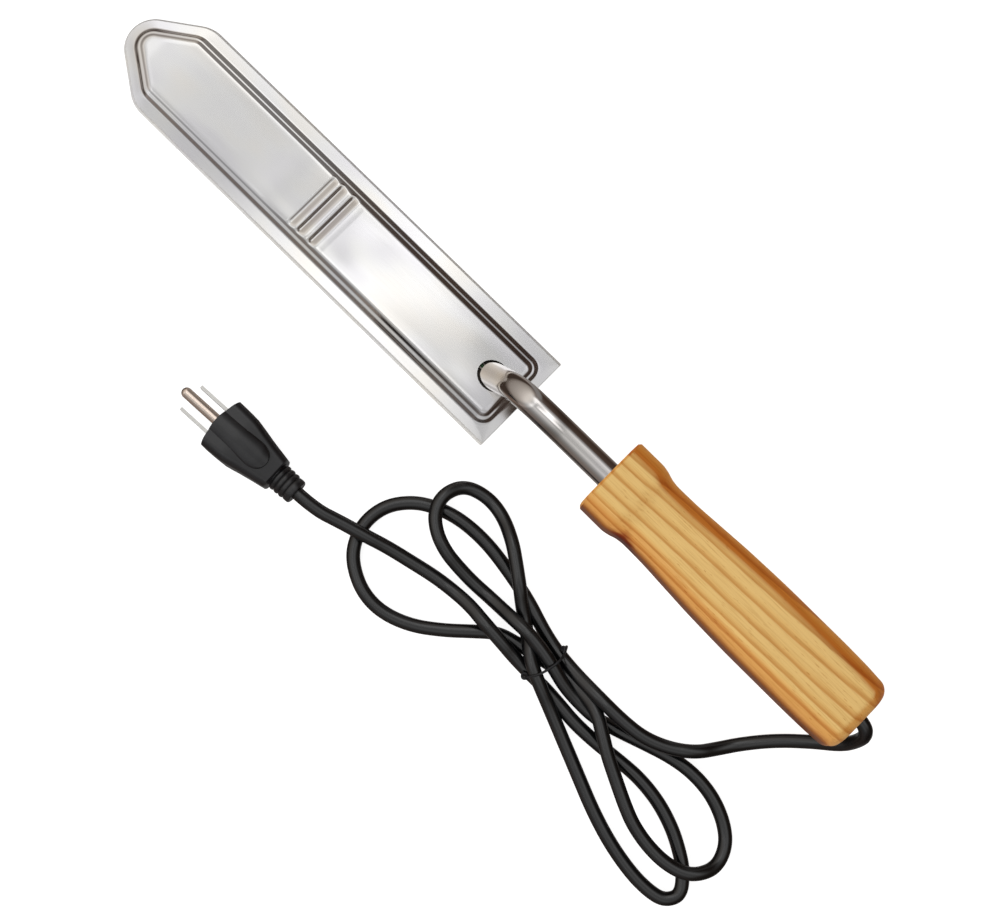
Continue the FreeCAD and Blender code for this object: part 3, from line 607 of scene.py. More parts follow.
# The large loop on the plug's side of the tie.
NEAR_LOOP = (
    (0.0988, -0.0627, 0.003), (0.0869, -0.0586, 0.003), (0.0724, -0.0555, 0.003), (0.0569, -0.0532, 0.003),
    (0.0429, -0.0537, 0.003), (0.0321, -0.0566, 0.003), (0.0218, -0.0623, 0.003), (0.014, -0.0723, 0.003),
    (0.0125, -0.0844, 0.003), (0.0166, -0.0946, 0.003), (0.0233, -0.1009, 0.003), (0.0338, -0.1056, 0.003),
    (0.0455, -0.1058, 0.003), (0.0582, -0.101, 0.003), (0.0694, -0.0927, 0.003), (0.0784, -0.0844, 0.003),
    (0.0862, -0.0774, 0.003), (0.095, -0.0748, 0.003), (0.103, -0.073, 0.003), (0.112, -0.0712, 0.003),
    (0.1225, -0.0698, 0.0034), (0.132, -0.0702, 0.006),
)
# The shorter loop on the far side of the tie.
FAR_LOOP = (
    (0.1402, -0.0722, 0.0092), (0.1478, -0.077, 0.0096), (0.1555, -0.0818, 0.0096),
    (0.1664, -0.0873, 0.0094), (0.1754, -0.0917, 0.0094), (0.183, -0.0948, 0.0094),
    (0.1928, -0.0967, 0.0094), (0.2028, -0.0968, 0.0094), (0.2112, -0.0946, 0.0094),
    (0.2167, -0.0903, 0.0088), (0.2204, -0.0826, 0.0045), (0.2173, -0.0734, 0.003), (0.2096, -0.067, 0.003),
    (0.1986, -0.0626, 0.003), (0.1868, -0.0615, 0.003), (0.1752, -0.0632, 0.003), (0.1621, -0.0674, 0.003),
    (0.151, -0.0712, 0.003), (0.141, -0.074, 0.003), (0.131, -0.0742, 0.0036), (0.122, -0.0736, 0.0066),
)
# The small loop that rides over the large one.
SMALL_LOOP = (
    (0.1135, -0.0714, 0.0094), (0.105, -0.0696, 0.0108), (0.096, -0.0686, 0.0112), (0.088, -0.0688, 0.0094),
    (0.08, -0.0689, 0.0055), (0.073, -0.069, 0.0032), (0.064, -0.0695, 0.0032), (0.055, -0.0693, 0.006),
    (0.0469, -0.0686, 0.0093), (0.0382, -0.0655, 0.0094), (0.0311, -0.0596, 0.0094),
    (0.0288, -0.0513, 0.0088), (0.0324, -0.0424, 0.005), (0.0426, -0.0389, 0.003), (0.0533, -0.0403, 0.004),
    (0.0643, -0.0458, 0.0093), (0.0718, -0.0512, 0.0094), (0.0798, -0.0572, 0.0096),
    (0.0859, -0.062, 0.006), (0.0915, -0.0658, 0.004), (0.0965, -0.0696, 0.0052), (0.1015, -0.0736, 0.009),
)
# The longer loop on the far side of the tie, farther from the handle.
LONG_LOOP = (
    (0.107, -0.0774, 0.0096), (0.1147, -0.0808, 0.009), (0.1249, -0.0848, 0.0045), (0.1368, -0.0897, 0.003),
    (0.152, -0.096, 0.003), (0.1675, -0.1025, 0.003), (0.1826, -0.1072, 0.003), (0.1973, -0.1097, 0.003),
    (0.2075, -0.1096, 0.003), (0.2138, -0.108, 0.003), (0.217, -0.1037, 0.003), (0.2166, -0.1001, 0.003),
    (0.2141, -0.0966, 0.003), (0.2103, -0.0926, 0.003), (0.2041, -0.0885, 0.003), (0.1961, -0.0842, 0.003),
    (0.1846, -0.0804, 0.003), (0.172, -0.0789, 0.003), (0.16, -0.0798, 0.003), (0.148, -0.0812, 0.003),
    (0.136, -0.0816, 0.003), (0.126, -0.0806, 0.003), (0.117, -0.08, 0.003),
)
# Through the tie under the small loop's end, then twice over the large loop on the way to the plug.
PLUG_LEAD = (
    (0.107, -0.08, 0.0034), (0.0985, -0.0798, 0.0054), (0.0904, -0.0792, 0.009), (0.0799, -0.0785, 0.0096),
    (0.07, -0.0774, 0.006), (0.0601, -0.0779, 0.0032), (0.0502, -0.0792, 0.0032), (0.0391, -0.0817, 0.0032),
    (0.0274, -0.0845, 0.0055), (0.0172, -0.0879, 0.0093), (0.006, -0.0911, 0.01), (-0.005, -0.0948, 0.012),
    (-0.0155, -0.0953, 0.012),
)
CORD_ROUTE = HANDLE_LEAD + NEAR_LOOP + FAR_LOOP + SMALL_LOOP + LONG_LOOP + PLUG_LEAD


def line_curve(name, points, diameter, closed=False):
    """A smooth round line that follows points given in metres."""
    curve = bpy.data.curves.new(name, "CURVE")
    curve.dimensions = "3D"
    line = curve.splines.new("NURBS")
    line.points.add(len(points) - 1)
    for point, place in zip(line.points, points):
        point.co = (*place, 1)
    line.order_u = 3
    line.use_endpoint_u = not closed
    line.use_cyclic_u = closed
    line.resolution_u = 10
    curve.bevel_depth = diameter / 2
    curve.bevel_resolution = 7
    curve.use_fill_caps = not closed
    return curve


def make_cord(look):
    curve = line_curve("mains_lead", CORD_ROUTE, CORD_DIAMETER)
    lead = shown("mains_lead", curve, look, "cord_jacket", "cord_handle_lead", "cord_hank", "cord_plug_lead")


# ---------------- the plug

# The plug's axis, and how far it lies turned on the table, in degrees about a point on that axis.
PLUG_Y = -96.5
PLUG_MIDDLE_Z = 12.0
PLUG_TURN = 2.6
PLUG_PIVOT_X = -41.5
PLUG_FACE_X = -58.1
# How far the face bows out toward the pins, and the length over which the bow dies away.
PLUG_BOW = 1.8
PLUG_BOW_LENGTH = 8.0
PLUG_CORNER = 3.8
PLUG_STEPS = (10, 8)
# The moulding's half width and half height along its axis, from the face to the strain relief.
PLUG_SECTIONS = (
    (PLUG_FACE_X, 12.2, 12.0), (-54.0, 12.1, 12.0), (-50.0, 11.9, 12.0), (-47.0, 11.7, 11.9),
    (-44.0, 11.1, 11.3), (-40.0, 10.2, 10.3), (-35.0, 9.2, 9.2), (-30.0, 8.3, 8.1), (-27.3, 7.8, 7.6),
    (-26.8, 7.2, 7.0),
)
# The raised tongue on the moulding: its half width at each end, its top's height along the axis, how its
# crown and its edges fall away from there, and how far it stands out from the face.
TONGUE_HALF_WIDTHS = (6.1, 6.7)
TONGUE_END_X = -32.0
TONGUE_TOPS = ((-58, 12.9), (-48, 12.9), (-43, 12.4), (-36, 11.0), (-32, 9.6))
TONGUE_CROWN = 0.6
TONGUE_FALL = 2.3
TONGUE_EDGE_FALL = 2.0
TONGUE_EDGE = 0.88
TONGUE_FOOT_Z = 2.0
TONGUE_PROUD = 0.1
# Radius along the strain relief: three soft ribs and an end ring.
RELIEF_PROFILE = (
    (-27.6, 0.1), (-27.6, 5.4), (-26.4, 5.4), (-25.9, 6.0), (-25.2, 6.25), (-24.3, 6.1), (-23.9, 5.6),
    (-23.4, 6.0), (-22.6, 6.2), (-21.8, 6.0), (-21.4, 5.5), (-20.9, 5.9), (-20.1, 6.1), (-19.3, 5.9),
    (-18.9, 5.4), (-18.4, 5.7), (-17.2, 5.8), (-16.0, 5.7), (-15.5, 5.3), (-15.5, 0.1),
)


def plug_point(x, y, z):
    """A point given along, across and above the plug's axis, put where the turned plug lies."""
    turn = math.radians(PLUG_TURN)
    reach = x - PLUG_PIVOT_X
    moved_x = PLUG_PIVOT_X + reach * math.cos(turn) - y * math.sin(turn)
    return (moved_x, PLUG_Y + reach * math.sin(turn) + y * math.cos(turn), PLUG_MIDDLE_Z + z)


def bowed(x, y, proud=0.0):
    """A place along the plug's axis, moved toward the pins by the face's bow."""
    bow = PLUG_BOW * max(1 - (y / PLUG_SECTIONS[0][1]) ** 2, 0.0)
    return x - (bow + proud) * max(1 - (x - PLUG_FACE_X) / PLUG_BOW_LENGTH, 0.0)


def plug_piece(name, rings, look, sharp=38):
    """A piece through rings of (along, across, above) points, shown in place of the CAD plug body."""
    turned = [[plug_point(*point) for point in one] for one in rings]
    return shown(name, loft(name, turned, sharp), look, "plug_plastic", "plug_body")


def make_moulding(look):
    """The plug's body: the bowed face filled in from its middle, then the sections behind it."""
    face = rounded_section(*PLUG_SECTIONS[0][1:], PLUG_CORNER, *PLUG_STEPS)
    rings = []
    for share in (0.02, 0.35, 0.7):
        rings.append([(bowed(PLUG_FACE_X, y), y, z * share) for y, z in face])
    for x, half_y, half_z in PLUG_SECTIONS:
        flat = rounded_section(half_y, half_z, min(PLUG_CORNER, half_z - 0.6), *PLUG_STEPS)
        rings.append([(bowed(x, y), y, z) for y, z in flat])
    return plug_piece("plug_moulding", rings, look)


def make_tongue(look):
    """The raised tongue: crowned rings that narrow to a round end."""
    start, end = TONGUE_HALF_WIDTHS
    straight_end = TONGUE_END_X - end
    places = list(np.linspace(PLUG_FACE_X, straight_end, 14))
    places += [straight_end + end * math.sin(t) for t in np.radians(np.linspace(6, 87, 14))]
    rings = []
    for x in places:
        wide = float(np.interp(x, (PLUG_FACE_X, straight_end), TONGUE_HALF_WIDTHS))
        if x > straight_end:
            wide *= math.sqrt(max(1 - ((x - straight_end) / end) ** 2, 0.0))
        top = float(np.interp(x, *zip(*TONGUE_TOPS))) + TONGUE_CROWN
        fall = TONGUE_FALL * min(wide / start, 1.0) ** 2
        across = []
        for share in np.linspace(-1, 1, 25):
            edge = TONGUE_EDGE_FALL * max(abs(share) - TONGUE_EDGE, 0.0) / (1 - TONGUE_EDGE)
            across.append((wide * share, top - fall * share ** 2 - edge))
        across += [(wide, TONGUE_FOOT_Z), (-wide, TONGUE_FOOT_Z)]
        rings.append([(bowed(x, y, TONGUE_PROUD), y, z) for y, z in across])
    return plug_piece("plug_tongue", rings, look, 50)


def make_relief(look):
    turns = [2 * math.pi * i / 48 for i in range(48)]
    rings = []
    for x, radius in RELIEF_PROFILE:
        rings.append([(x, radius * math.cos(t), radius * math.sin(t)) for t in turns])
    return plug_piece("plug_strain_relief", rings, look, 50)


# ---------------- the wire tie, in metres

TIE_WIRE = 0.0011
# Once round the cords at the middle of the bundle, a little askew.
TIE_LOOP = (
    (0.1078, -0.0822, 0.0055), (0.1082, -0.0826, 0.0098), (0.1096, -0.0806, 0.0126),
    (0.1114, -0.078, 0.0136), (0.113, -0.0725, 0.0138), (0.1137, -0.0672, 0.0126), (0.1126, -0.0632, 0.0085),
    (0.1116, -0.0612, 0.005), (0.1114, -0.0606, 0.002), (0.1106, -0.065, 0.0006), (0.1096, -0.072, 0.0006),
    (0.1084, -0.079, 0.0006), (0.1078, -0.0824, 0.002),
)
# The twisted ends: a small curl on one side, a knob on the other.
TIE_CURL = (
    (0.109, -0.0822, 0.008), (0.1084, -0.0834, 0.0086), (0.1072, -0.0838, 0.0082), (0.1062, -0.0828, 0.0076),
    (0.1064, -0.0816, 0.0076), (0.1076, -0.0812, 0.008), (0.1088, -0.0818, 0.009), (0.1084, -0.0832, 0.0096),
)
TIE_STUB = (
    (0.1124, -0.064, 0.009), (0.1118, -0.0626, 0.0092), (0.1106, -0.062, 0.0086), (0.1104, -0.0632, 0.0078),
    (0.1116, -0.0636, 0.0076), (0.1122, -0.0624, 0.0082),
)


def make_tie(look):
    pieces = []
    for name, route, wire in (
        ("tie_loop", TIE_LOOP, TIE_WIRE),
        ("tie_curl", TIE_CURL, TIE_WIRE),
        ("tie_stub", TIE_STUB, TIE_WIRE * 1.2),
    ):
        curve = line_curve(name, route, wire, closed=route is TIE_LOOP)
        pieces.append(shown(name, curve, look, "tie_wire", "cord_tie"))
    return pieces


# ---------------- materials


def tone(red, green, blue):
    """A screen colour, 0 to 255, as the linear colour that the shaders use."""
    parts = [c / 255 for c in (red, green, blue)]
    linear = [c / 12.92 if c <= 0.04045 else ((c + 0.055) / 1.055) ** 2.4 for c in parts]
    return (*linear, 1.0)


def node(tree, kind, values=None, **settings):
    """Adds a shader node. values go to its inputs: a number, a colour, or another node's output."""
    made = tree.nodes.new("ShaderNode" + kind)
    for name, value in settings.items():
        setattr(made, name, value)
    for key, value in (values or {}).items():
        if isinstance(value, bpy.types.NodeSocket):
            tree.links.new(value, made.inputs[key])
        else:
            made.inputs[key].default_value = value
    return made


def maths(tree, operation, first, second=0.0, third=0.0):
    return node(tree, "Math", {0: first, 1: second, 2: third}, operation=operation).outputs[0]


def ramp(tree, factor, stops):
    """A colour ramp from (place, colour) stops."""
    made = node(tree, "ValToRGB", {0: factor})
    band = made.color_ramp
    while len(band.elements) < len(stops):
        band.elements.new(0.5)
    for i, (place, _) in enumerate(stops):
        band.elements[i].position = place
    for element, (_, colour) in zip(band.elements, stops):
        element.color = colour
    return made.outputs["Color"]


def grey(value):
    return (value, value, value, 1.0)


def blend(tree, factor, first, second, how="MIX"):
    values = {0: factor, 6: first, 7: second}
    return node(tree, "Mix", values, data_type="RGBA", blend_type=how).outputs[2]


def place_mm(tree, scale=(1.0, 1.0, 1.0)):
    """The surface point in millimetres, stretched by scale."""
    where = node(tree, "TexCoord").outputs["Object"]
    per_metre = [s / MM for s in scale]
    return node(tree, "Mapping", {"Vector": where, "Scale": per_metre}).outputs[0]


def noise(tree, scale=(1.0, 1.0, 1.0), detail=2.0, rough=0.5):
    """Smooth noise from 0 to 1 whose grains are 1/scale millimetres wide."""
    values = {"Vector": place_mm(tree, scale), "Scale": 1.0, "Detail": detail, "Roughness": rough}
    return node(tree, "TexNoise", values).outputs[0]


def material(name, colour, roughness, metallic=0.0, **sockets):
    """A Principled material. Returns it with its tree and shader, so that detail can be added."""
    made = bpy.data.materials.new(name)
    made.use_nodes = True
    shader = made.node_tree.nodes["Principled BSDF"]
    shader.inputs["Base Color"].default_value = colour
    shader.inputs["Roughness"].default_value = roughness
    shader.inputs["Metallic"].default_value = metallic
    for key, value in sockets.items():
        shader.inputs[key.replace("_", " ")].default_value = value
    return made, made.node_tree, shader


def bump(tree, shader, height, strength, distance):
    values = {"Height": height, "Strength": strength, "Distance": distance}
    tree.links.new(node(tree, "Bump", values).outputs[0], shader.inputs["Normal"])


def scaled(colour, *factors):
    """A colour with its channels multiplied, by one factor or by three."""
    return tuple(c * f for c, f in zip(colour[:3], factors * (3 // len(factors)))) + (1.0,)


def vary_roughness(tree, shader, value, low, high):
    rough = node(tree, "MapRange", {"Value": value, "To Min": low, "To Max": high}).outputs[0]
    tree.links.new(rough, shader.inputs["Roughness"])
    return rough


def steel_look(name, colour, dull, bright, streak, metallic=1.0):
    """Stainless sheet: soft patches of polish, faint warm and cool tints and very fine brushing."""
    made, tree, shader = material(name, colour, dull, metallic)
    patches = noise(tree, (0.02, 0.05, 0.05), 2.0)
    fine = noise(tree, streak, 3.0, 0.6)
    rough = vary_roughness(tree, shader, patches, dull, bright)
    tree.links.new(maths(tree, "MULTIPLY_ADD", fine, 0.03, rough), shader.inputs["Roughness"])
    warm = scaled(colour, 1.02, 1.0, 0.965)
    cool = scaled(colour, 0.955, 0.95, 0.98)
    tint = ramp(tree, noise(tree, (0.03, 0.06, 0.06), 1.0), ((0.35, warm), (0.5, colour), (0.65, cool)))
    tree.links.new(tint, shader.inputs["Base Color"])
    bump(tree, shader, fine, 0.006, 0.00004)
    return made


# Where the growth lines cross the handle's top at its middle, toward +Y.
GROWTH_LINES = (-15.0, -10.5, -4.7, 2.5, 9.0, 14.0)
# Their slant about GROWTH_CENTRE_X, how much it grows toward +Y, and their lean with depth.
GROWTH_CENTRE_X = 150.0
GROWTH_SLANT = 0.032
GROWTH_FAN = 0.002
GROWTH_LEAN = 0.3
# The shade on each side of a growth line: millimetres from it toward +Y.
PALE, MIDDLE, DARK = (246, 205, 130), (239, 192, 114), (218, 160, 86)
GROWTH_SHADES = ((-0.4, PALE), (0.0, DARK), (0.5, DARK), (1.6, MIDDLE), (3.0, PALE))
# The stain and painted shade on the handle's rounded sides, from the one that faces -Y to the one that faces
# +Y: the dark orange toward +Y is partly painted shade.
SIDE_STAIN_AND_SHADE = (
    (0.0, (112, 70, 44)), (0.045, (160, 112, 76)), (0.1, (212, 178, 146)), (0.42, (238, 218, 198)),
    (0.5, (236, 206, 172)), (0.58, (214, 148, 70)), (0.74, (222, 146, 56)), (0.88, (250, 190, 96)),
    (1.0, (240, 200, 136)),
)


def wood_look():
    """Varnished softwood: slanting growth lines, each sharp on one side, and edges darkened by stain and
    painted shade.
    """
    varnish = {"Coat_Weight": 0.1, "Coat_Roughness": 0.22, "Specular_IOR_Level": 0.2}
    made, tree, shader = material("handle_wood", tone(235, 194, 120), 0.42, **varnish)
    split = node(tree, "SeparateXYZ", {0: place_mm(tree)})
    along, across, up = split.outputs
    # The lines fan out toward the handle's rear and lean with depth, as in a plank cut off the heart.
    back = maths(tree, "SUBTRACT", along, GROWTH_CENTRE_X)
    fan = maths(tree, "MULTIPLY_ADD", across, GROWTH_FAN, GROWTH_SLANT)
    lines = maths(tree, "SUBTRACT", across, maths(tree, "MULTIPLY", back, fan))
    lines = maths(tree, "MULTIPLY_ADD", maths(tree, "SUBTRACT", up, HANDLE_HIGH.z), GROWTH_LEAN, lines)
    for scale, detail, reach in (((0.012, 0.05, 0.05), 1.0, 2.0), ((0.06, 0.25, 0.25), 2.0, 0.9)):
        wander = maths(tree, "SUBTRACT", noise(tree, scale, detail), 0.5)
        lines = maths(tree, "MULTIPLY_ADD", wander, reach, lines)
    # From 0 to 1 over the handle's width, 20 mm to each side.
    phase = maths(tree, "MULTIPLY_ADD", lines, 1 / 40, 0.5)
    stops = []
    for line in GROWTH_LINES:
        for away, shade in GROWTH_SHADES:
            stops.append(((line + away) / 40 + 0.5, tone(*shade)))
    rings = ramp(tree, phase, stops)
    fibre_noise = noise(tree, (0.05, 1.6, 1.6), 4.0, 0.6)
    fibres = ramp(tree, fibre_noise, ((0.3, tone(238, 228, 214)), (0.5, grey(1.0)), (0.8, grey(1.05))))
    dashes = ramp(tree, noise(tree, (0.22, 2.4, 2.4), 1.0), ((0.70, grey(1.0)), (0.76, tone(226, 202, 176))))
    colour = blend(tree, 1.0, rings, fibres, "MULTIPLY")
    colour = blend(tree, 1.0, colour, dashes, "MULTIPLY")
    # Stain and painted shade: the rounded sides are darkened and tinted by which way they face, partly
    # standing in for shade from the light.
    facing = node(tree, "SeparateXYZ", {0: node(tree, "NewGeometry").outputs["Normal"]})
    turned_y = maths(tree, "MULTIPLY_ADD", facing.outputs[1], 0.5, 0.5)
    sides = ramp(tree, facing.outputs[2], ((0.0, grey(1.0)), (0.93, grey(0.9)), (0.997, grey(0.0))))
    stain_and_shade_tint = ramp(tree, turned_y, [(place, tone(*shade)) for place, shade in SIDE_STAIN_AND_SHADE])
    stained_and_shaded = blend(tree, 1.0, colour, stain_and_shade_tint, "MULTIPLY")
    colour = blend(tree, sides, colour, stained_and_shaded)
    # A darker reddish patch of stain where the -Y side draws in behind the collar.
    past_waist = maths(tree, "SUBTRACT", along, FRONT_X + 22.0)
    near_neck = maths(tree, "ABSOLUTE", maths(tree, "DIVIDE", past_waist, 18.0))
    near_neck = maths(tree, "MULTIPLY_ADD", turned_y, 2.2, near_neck)
    near_neck = maths(tree, "MULTIPLY_ADD", noise(tree, (0.08, 0.3, 0.3), 2.0), 0.9, near_neck)
    patch = ramp(tree, near_neck, ((0.7, grey(0.95)), (1.15, grey(0.0))))
    colour = blend(tree, patch, colour, blend(tree, 1.0, colour, tone(170, 92, 44), "MULTIPLY"))
    tree.links.new(colour, shader.inputs["Base Color"])
    bump(tree, shader, maths(tree, "ADD", fibre_noise, phase), 0.1, 0.0001)
    return made


def rubber_look(name, colour, roughness, grain=0.8, strength=0.12, shine=0.5):
    """Black moulded plastic or rubber with a fine satin skin and slight scuffs."""
    made, tree, shader = material(name, colour, roughness, Specular_IOR_Level=shine)
    scuffs = noise(tree, (0.15, 0.15, 0.15), 3.0)
    vary_roughness(tree, shader, scuffs, roughness - 0.06, roughness + 0.08)
    shades = ramp(tree, scuffs, ((0.4, colour), (0.75, scaled(colour, 1.35))))
    tree.links.new(shades, shader.inputs["Base Color"])
    bump(tree, shader, noise(tree, (grain, grain, grain), 2.0), strength, 0.0001)
    return made


def metal_look(name, colour, roughness, metallic=1.0):
    """Plain drawn or plated metal with a faint mottle."""
    made, tree, shader = material(name, colour, roughness, metallic)
    vary_roughness(tree, shader, noise(tree, (0.4, 0.4, 0.4)), roughness - 0.04, roughness + 0.06)
    return made


def plain_look(name, colour, roughness):
    """Insulation and fibre inside the knife, with a slight mottle."""
    made, tree, shader = material(name, colour, roughness)
    mottle = ramp(tree, noise(tree, (0.5, 0.5, 0.5)), ((0.35, scaled(colour, 0.8)), (0.65, colour)))
    tree.links.new(mottle, shader.inputs["Base Color"])
    return made


METALS = (
    # hidden_steel is dark as painted shade for the gap round the neck tube.
    ("hidden_steel", (92, 86, 80), 0.5), ("thermostat_case", (200, 198, 192), 0.35),
    ("screw_steel", (196, 194, 190), 0.28), ("heating_ribbon", (150, 142, 132), 0.45),
    ("plated_brass", (214, 200, 160), 0.3), ("pin_nickel", (214, 212, 208), 0.22),
    ("ground_pin_metal", (252, 234, 220), 0.16, 0.92),
)
RUBBERS = (
    ("cord_jacket", (9, 9, 10), 0.22, 1.2, 0.04, 1.0), ("plug_plastic", (22, 22, 24), 0.3, 2.0, 0.08, 0.8),
    ("insert_plastic", (34, 34, 36), 0.5), ("black_rubber", (24, 24, 25), 0.55),
    ("tie_wire", (26, 26, 28), 0.4, 2.0, 0.05),
)
PLAIN = (
    ("mica", (190, 176, 140), 0.4), ("glass_fibre", (226, 222, 208), 0.8), ("core_line", (30, 30, 30), 0.5),
    ("lead_insulation", (225, 220, 205), 0.5), ("ground_insulation", (26, 62, 30), 0.5),
)
STEELS = (
    ("blade_steel", (243, 242, 241), 0.11, 0.15, (0.05, 1.5, 1.5)),
    ("ground_steel", (228, 227, 225), 0.34, 0.42, (0.1, 1.0, 1.0), 0.2),
    ("tube_steel", (243, 239, 234), 0.07, 0.1, (0.03, 0.6, 0.6)),
)


def make_looks():
    """Every material by name, from the rows above: name, screen colour, then what each maker asks for."""
    looks = {"handle_wood": wood_look()}
    groups = ((metal_look, METALS), (rubber_look, RUBBERS), (plain_look, PLAIN), (steel_look, STEELS))
    for maker, rows in groups:
        for name, colour, *rest in rows:
            looks[name] = maker(name, tone(*colour), *rest)
    return looks


def paint_frame(looks):
    """Gives each CAD node the look of the record's material that it is made of."""
    for part in frame["record"]["subparts"]:
        dress(frame["nodes"][part["node"]].data, looks[part["material_slot"]])
    # The bracket shows only through the gap round the tube; its dark steel colour is painted shade in that
    # gap.
    dress(frame["nodes"]["neck_bracket"].data, looks["hidden_steel"])


# ---------------- floor, light and camera

FLOOR_SIZE = 6.0
FLOOR_GAP = 0.0003
# Brightness of the surroundings round the knife's own axis: degrees from straight up, toward +Y.
ROUND_AXIS = (
    (-180, 125), (-144, 117), (-130, 72), (-116, 71), (-102, 99), (-88, 106), (-74, 116), (-60, 134),
    (-46, 166), (-32, 203), (-18, 182), (-4, 170), (3, 191), (10, 205), (17, 208), (24, 228), (38, 151),
    (52, 62), (66, 55), (94, 46), (108, 56), (122, 88), (136, 112), (150, 126), (164, 132), (180, 125),
)
# The same along the knife: degrees out of the cross plane toward +X, as a share of the brightness above.
ALONG_AXIS = (
    (-90, 0.9), (-30, 1.0), (-23, 1.25), (-20.3, 1.12), (-19.3, 1.12), (-18.7, 1.0), (-18.2, 0.95),
    (-15.5, 0.94), (-14, 0.98), (-8.2, 0.93), (-7.2, 0.78), (-5, 0.74), (-4.3, 0.96), (3, 1.0), (20, 0.95),
    (90, 0.9),
)
# Four patches laid over the bands: two bright windows toward the tip, a paler stretch of the dark side and
# the highlight on the front rim. Each has a mask round the axis, one along it (same degrees) and a level.
WINDOWS = (
    (
        ((-14, 0), (-12, 1), (22, 1), (26, 0)),
        ((-13.3, 0), (-12.7, 0.5), (-11.7, 1), (-10, 1), (-9.3, 0.8), (-8.9, 0.6), (-8.4, 0.1), (-7.8, 0)),
        0.64,
    ),
    (
        ((-16, 0), (-13, 1), (0, 1), (3, 0)),
        ((-15, 0), (-14.4, 1), (-10, 1), (-9, 0.85), (-8, 0.75), (-6.5, 0.6), (-5, 0)),
        0.57,
    ),
    (((42, 0), (58, 0.6), (122, 0.6), (136, 0)), ((-30, 0), (-24, 1), (-15.5, 1), (-12.5, 0)), 0.13),
    (((13, 0), (20, 1), (32, 1), (40, 0)), ((-32, 0), (-28, 1), (-16, 1), (-13, 0)), 0.5),
)
# How far each direction belongs to what lies past the two ends, in the same degrees toward +X.
PAST_THE_ENDS = ((-90, 1.0), (-40, 1.0), (-34, 0.75), (-26, 0.0), (28, 0.0), (55, 0.9), (90, 1.0))
# The colour there, in degrees from straight up toward +X: pale behind the tip, dark low down and at the
# handle.
END_COLOURS = (
    (-180, (84, 74, 68)), (-142, (70, 60, 54)), (-133, (54, 45, 39)), (-100, (54, 45, 39)),
    (-92, (96, 88, 82)), (-84, (130, 123, 117)), (-72, (146, 140, 134)), (-64, (158, 152, 146)),
    (-56, (174, 168, 162)), (-50, (190, 184, 178)), (-44, (205, 200, 194)), (-30, (215, 210, 204)),
    (28, (150, 146, 140)), (58, (84, 74, 66)), (90, (50, 40, 34)), (180, (84, 74, 68)),
)
WORLD_STRENGTH = 2.3
BACKDROP = 0.93


def share_stops(rows, half_turn):
    """Ramp stops from rows of (degrees, share), where the ramp spans half_turn to each side of 0."""
    return [((degrees / half_turn + 1) / 2, grey(share)) for degrees, share in rows]


def band_colour(level):
    """The surroundings' colour at a brightness: warmer where it is dark."""
    warmth = min(max((130 - level) / 80, 0.0), 1.0)
    return tone(level * (1 + 0.26 * warmth), level, level * (1 - 0.14 * warmth))


def make_world():
    """Soft banded surroundings, as large diffusers and dark gaps give on polished steel."""
    world = bpy.data.worlds.new("studio")
    bpy.context.scene.world = world
    world.use_nodes = True
    tree = world.node_tree
    background = tree.nodes["Background"]
    direction = node(tree, "SeparateXYZ", {0: node(tree, "TexCoord").outputs["Generated"]})
    x, y, z = direction.outputs
    turn = maths(tree, "MULTIPLY_ADD", maths(tree, "ARCTAN2", y, z), 0.5 / math.pi, 0.5)
    lean = maths(tree, "MULTIPLY_ADD", maths(tree, "ARCSINE", x), 1 / math.pi, 0.5)
    bands = ramp(tree, turn, [((degrees + 180) / 360, band_colour(level)) for degrees, level in ROUND_AXIS])
    shares = share_stops([(degrees, share ** 2.2 / 2) for degrees, share in ALONG_AXIS], 90)
    lit = blend(tree, 1.0, bands, ramp(tree, lean, shares), "MULTIPLY")
    for round_mask, along_mask, level in WINDOWS:
        across = ramp(tree, turn, share_stops(round_mask, 180))
        along = ramp(tree, lean, share_stops(along_mask, 90))
        mask = blend(tree, 1.0, across, along, "MULTIPLY")
        lit = blend(tree, mask, lit, grey(level))
    past = ramp(tree, lean, share_stops(PAST_THE_ENDS, 90))
    pitch = maths(tree, "MULTIPLY_ADD", maths(tree, "ARCTAN2", x, z), 0.5 / math.pi, 0.5)
    ends = []
    for degrees, colour in END_COLOURS:
        ends.append(((degrees + 180) / 360, tuple(part / 2 for part in tone(*colour))))
    lit = blend(tree, past, lit, ramp(tree, pitch, ends))
    seen = node(tree, "LightPath").outputs["Is Camera Ray"]
    lit = blend(tree, seen, lit, grey(BACKDROP / WORLD_STRENGTH))
    tree.links.new(lit, background.inputs[0])
    background.inputs[1].default_value = WORLD_STRENGTH


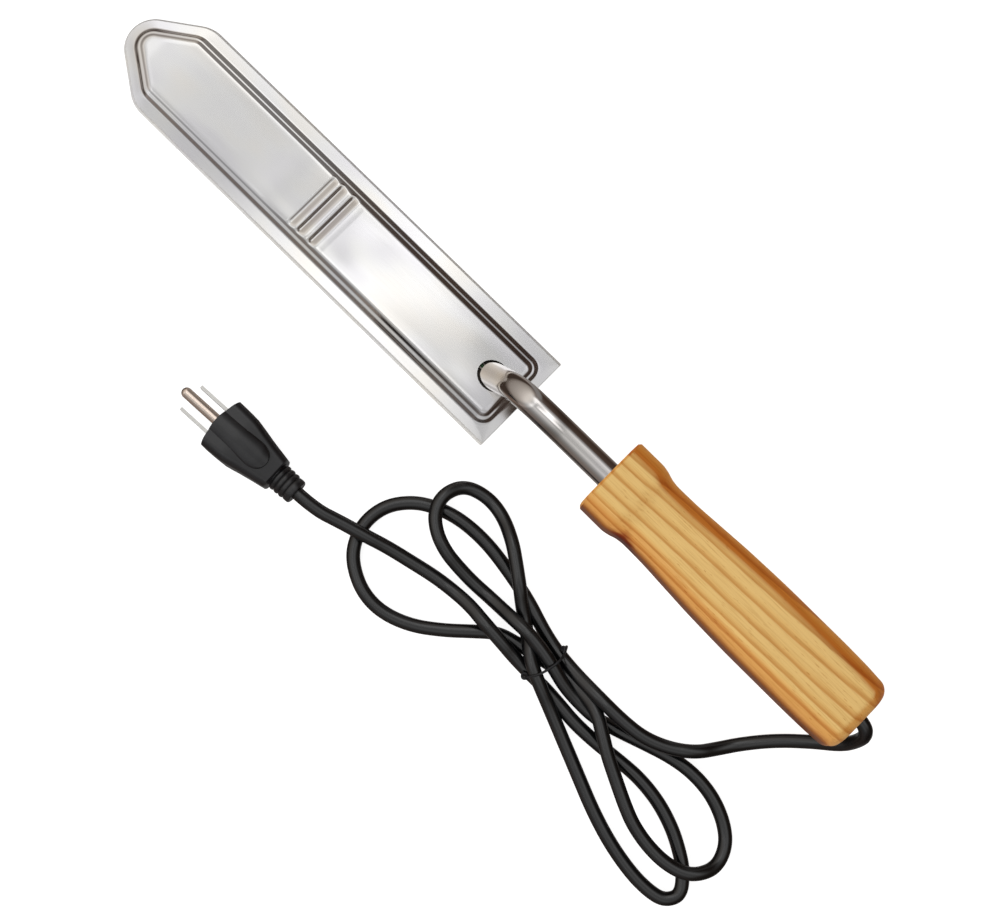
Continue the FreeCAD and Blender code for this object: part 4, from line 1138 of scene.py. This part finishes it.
def make_floor():
    """A plain near-white table that takes only faint shadows and doesn't show in the steel."""
    half = FLOOR_SIZE / 2
    mesh = bpy.data.meshes.new("floor")
    corner_points = [(-half, -half, 0), (half, -half, 0), (half, half, 0), (-half, half, 0)]
    mesh.from_pydata(corner_points, [], [(0, 1, 2, 3)])
    look, _, shader = material("floor", grey(0.4), 0.9)
    shader.inputs["Emission Color"].default_value = grey(1.0)
    shader.inputs["Emission Strength"].default_value = 0.9
    dress(mesh, look)
    floor = placed("floor", mesh)
    floor.location.z = CAD_BOX[0].z - FLOOR_GAP
    floor.visible_glossy = False


def make_light(name, place, size, power):
    """A large soft lamp that faces the middle of the knife and doesn't show in the steel."""
    lamp = bpy.data.lights.new(name, "AREA")
    lamp.size = size
    lamp.energy = power
    piece = placed(name, lamp)
    piece.location = place
    piece.rotation_euler = (-Vector(place)).to_track_quat("-Z", "Y").to_euler()
    piece.visible_glossy = False


CAMERA_PLACE = Vector((0.1099, -0.1099, 0.8560))
CAMERA_AIM = Vector((0.0335, -0.0221, 0.0))
CAMERA_TOP = Vector((-0.7018, 0.7125, 0.0))
CAMERA_LENS = 72.0


def make_camera():
    lens = bpy.data.cameras.new("camera")
    lens.lens = CAMERA_LENS
    lens.sensor_width = 36.0
    camera = placed("camera", lens)
    back = (CAMERA_PLACE - CAMERA_AIM).normalized()
    right = CAMERA_TOP.cross(back).normalized()
    turned = Matrix((right, back.cross(right), back)).transposed().to_4x4()
    camera.matrix_world = Matrix.Translation(CAMERA_PLACE) @ turned
    bpy.context.scene.camera = camera


# ---------------- everything together

looks = make_looks()
paint_frame(looks)
make_camera()
tie_pieces = make_tie(looks["tie_wire"])
plug_pieces = [make(looks["plug_plastic"]) for make in (make_moulding, make_tongue, make_relief)]
make_cord(looks["cord_jacket"])
make_blade(looks["ground_steel"], looks["blade_steel"])
make_insulation(looks["glass_fibre"])
make_neck(looks["tube_steel"])
make_handle(looks["handle_wood"])
make_floor()
make_world()
make_light("key", (-0.1, -0.9, 0.8), 0.8, 8.0)
bpy.context.scene.view_settings.view_transform = "Standard"
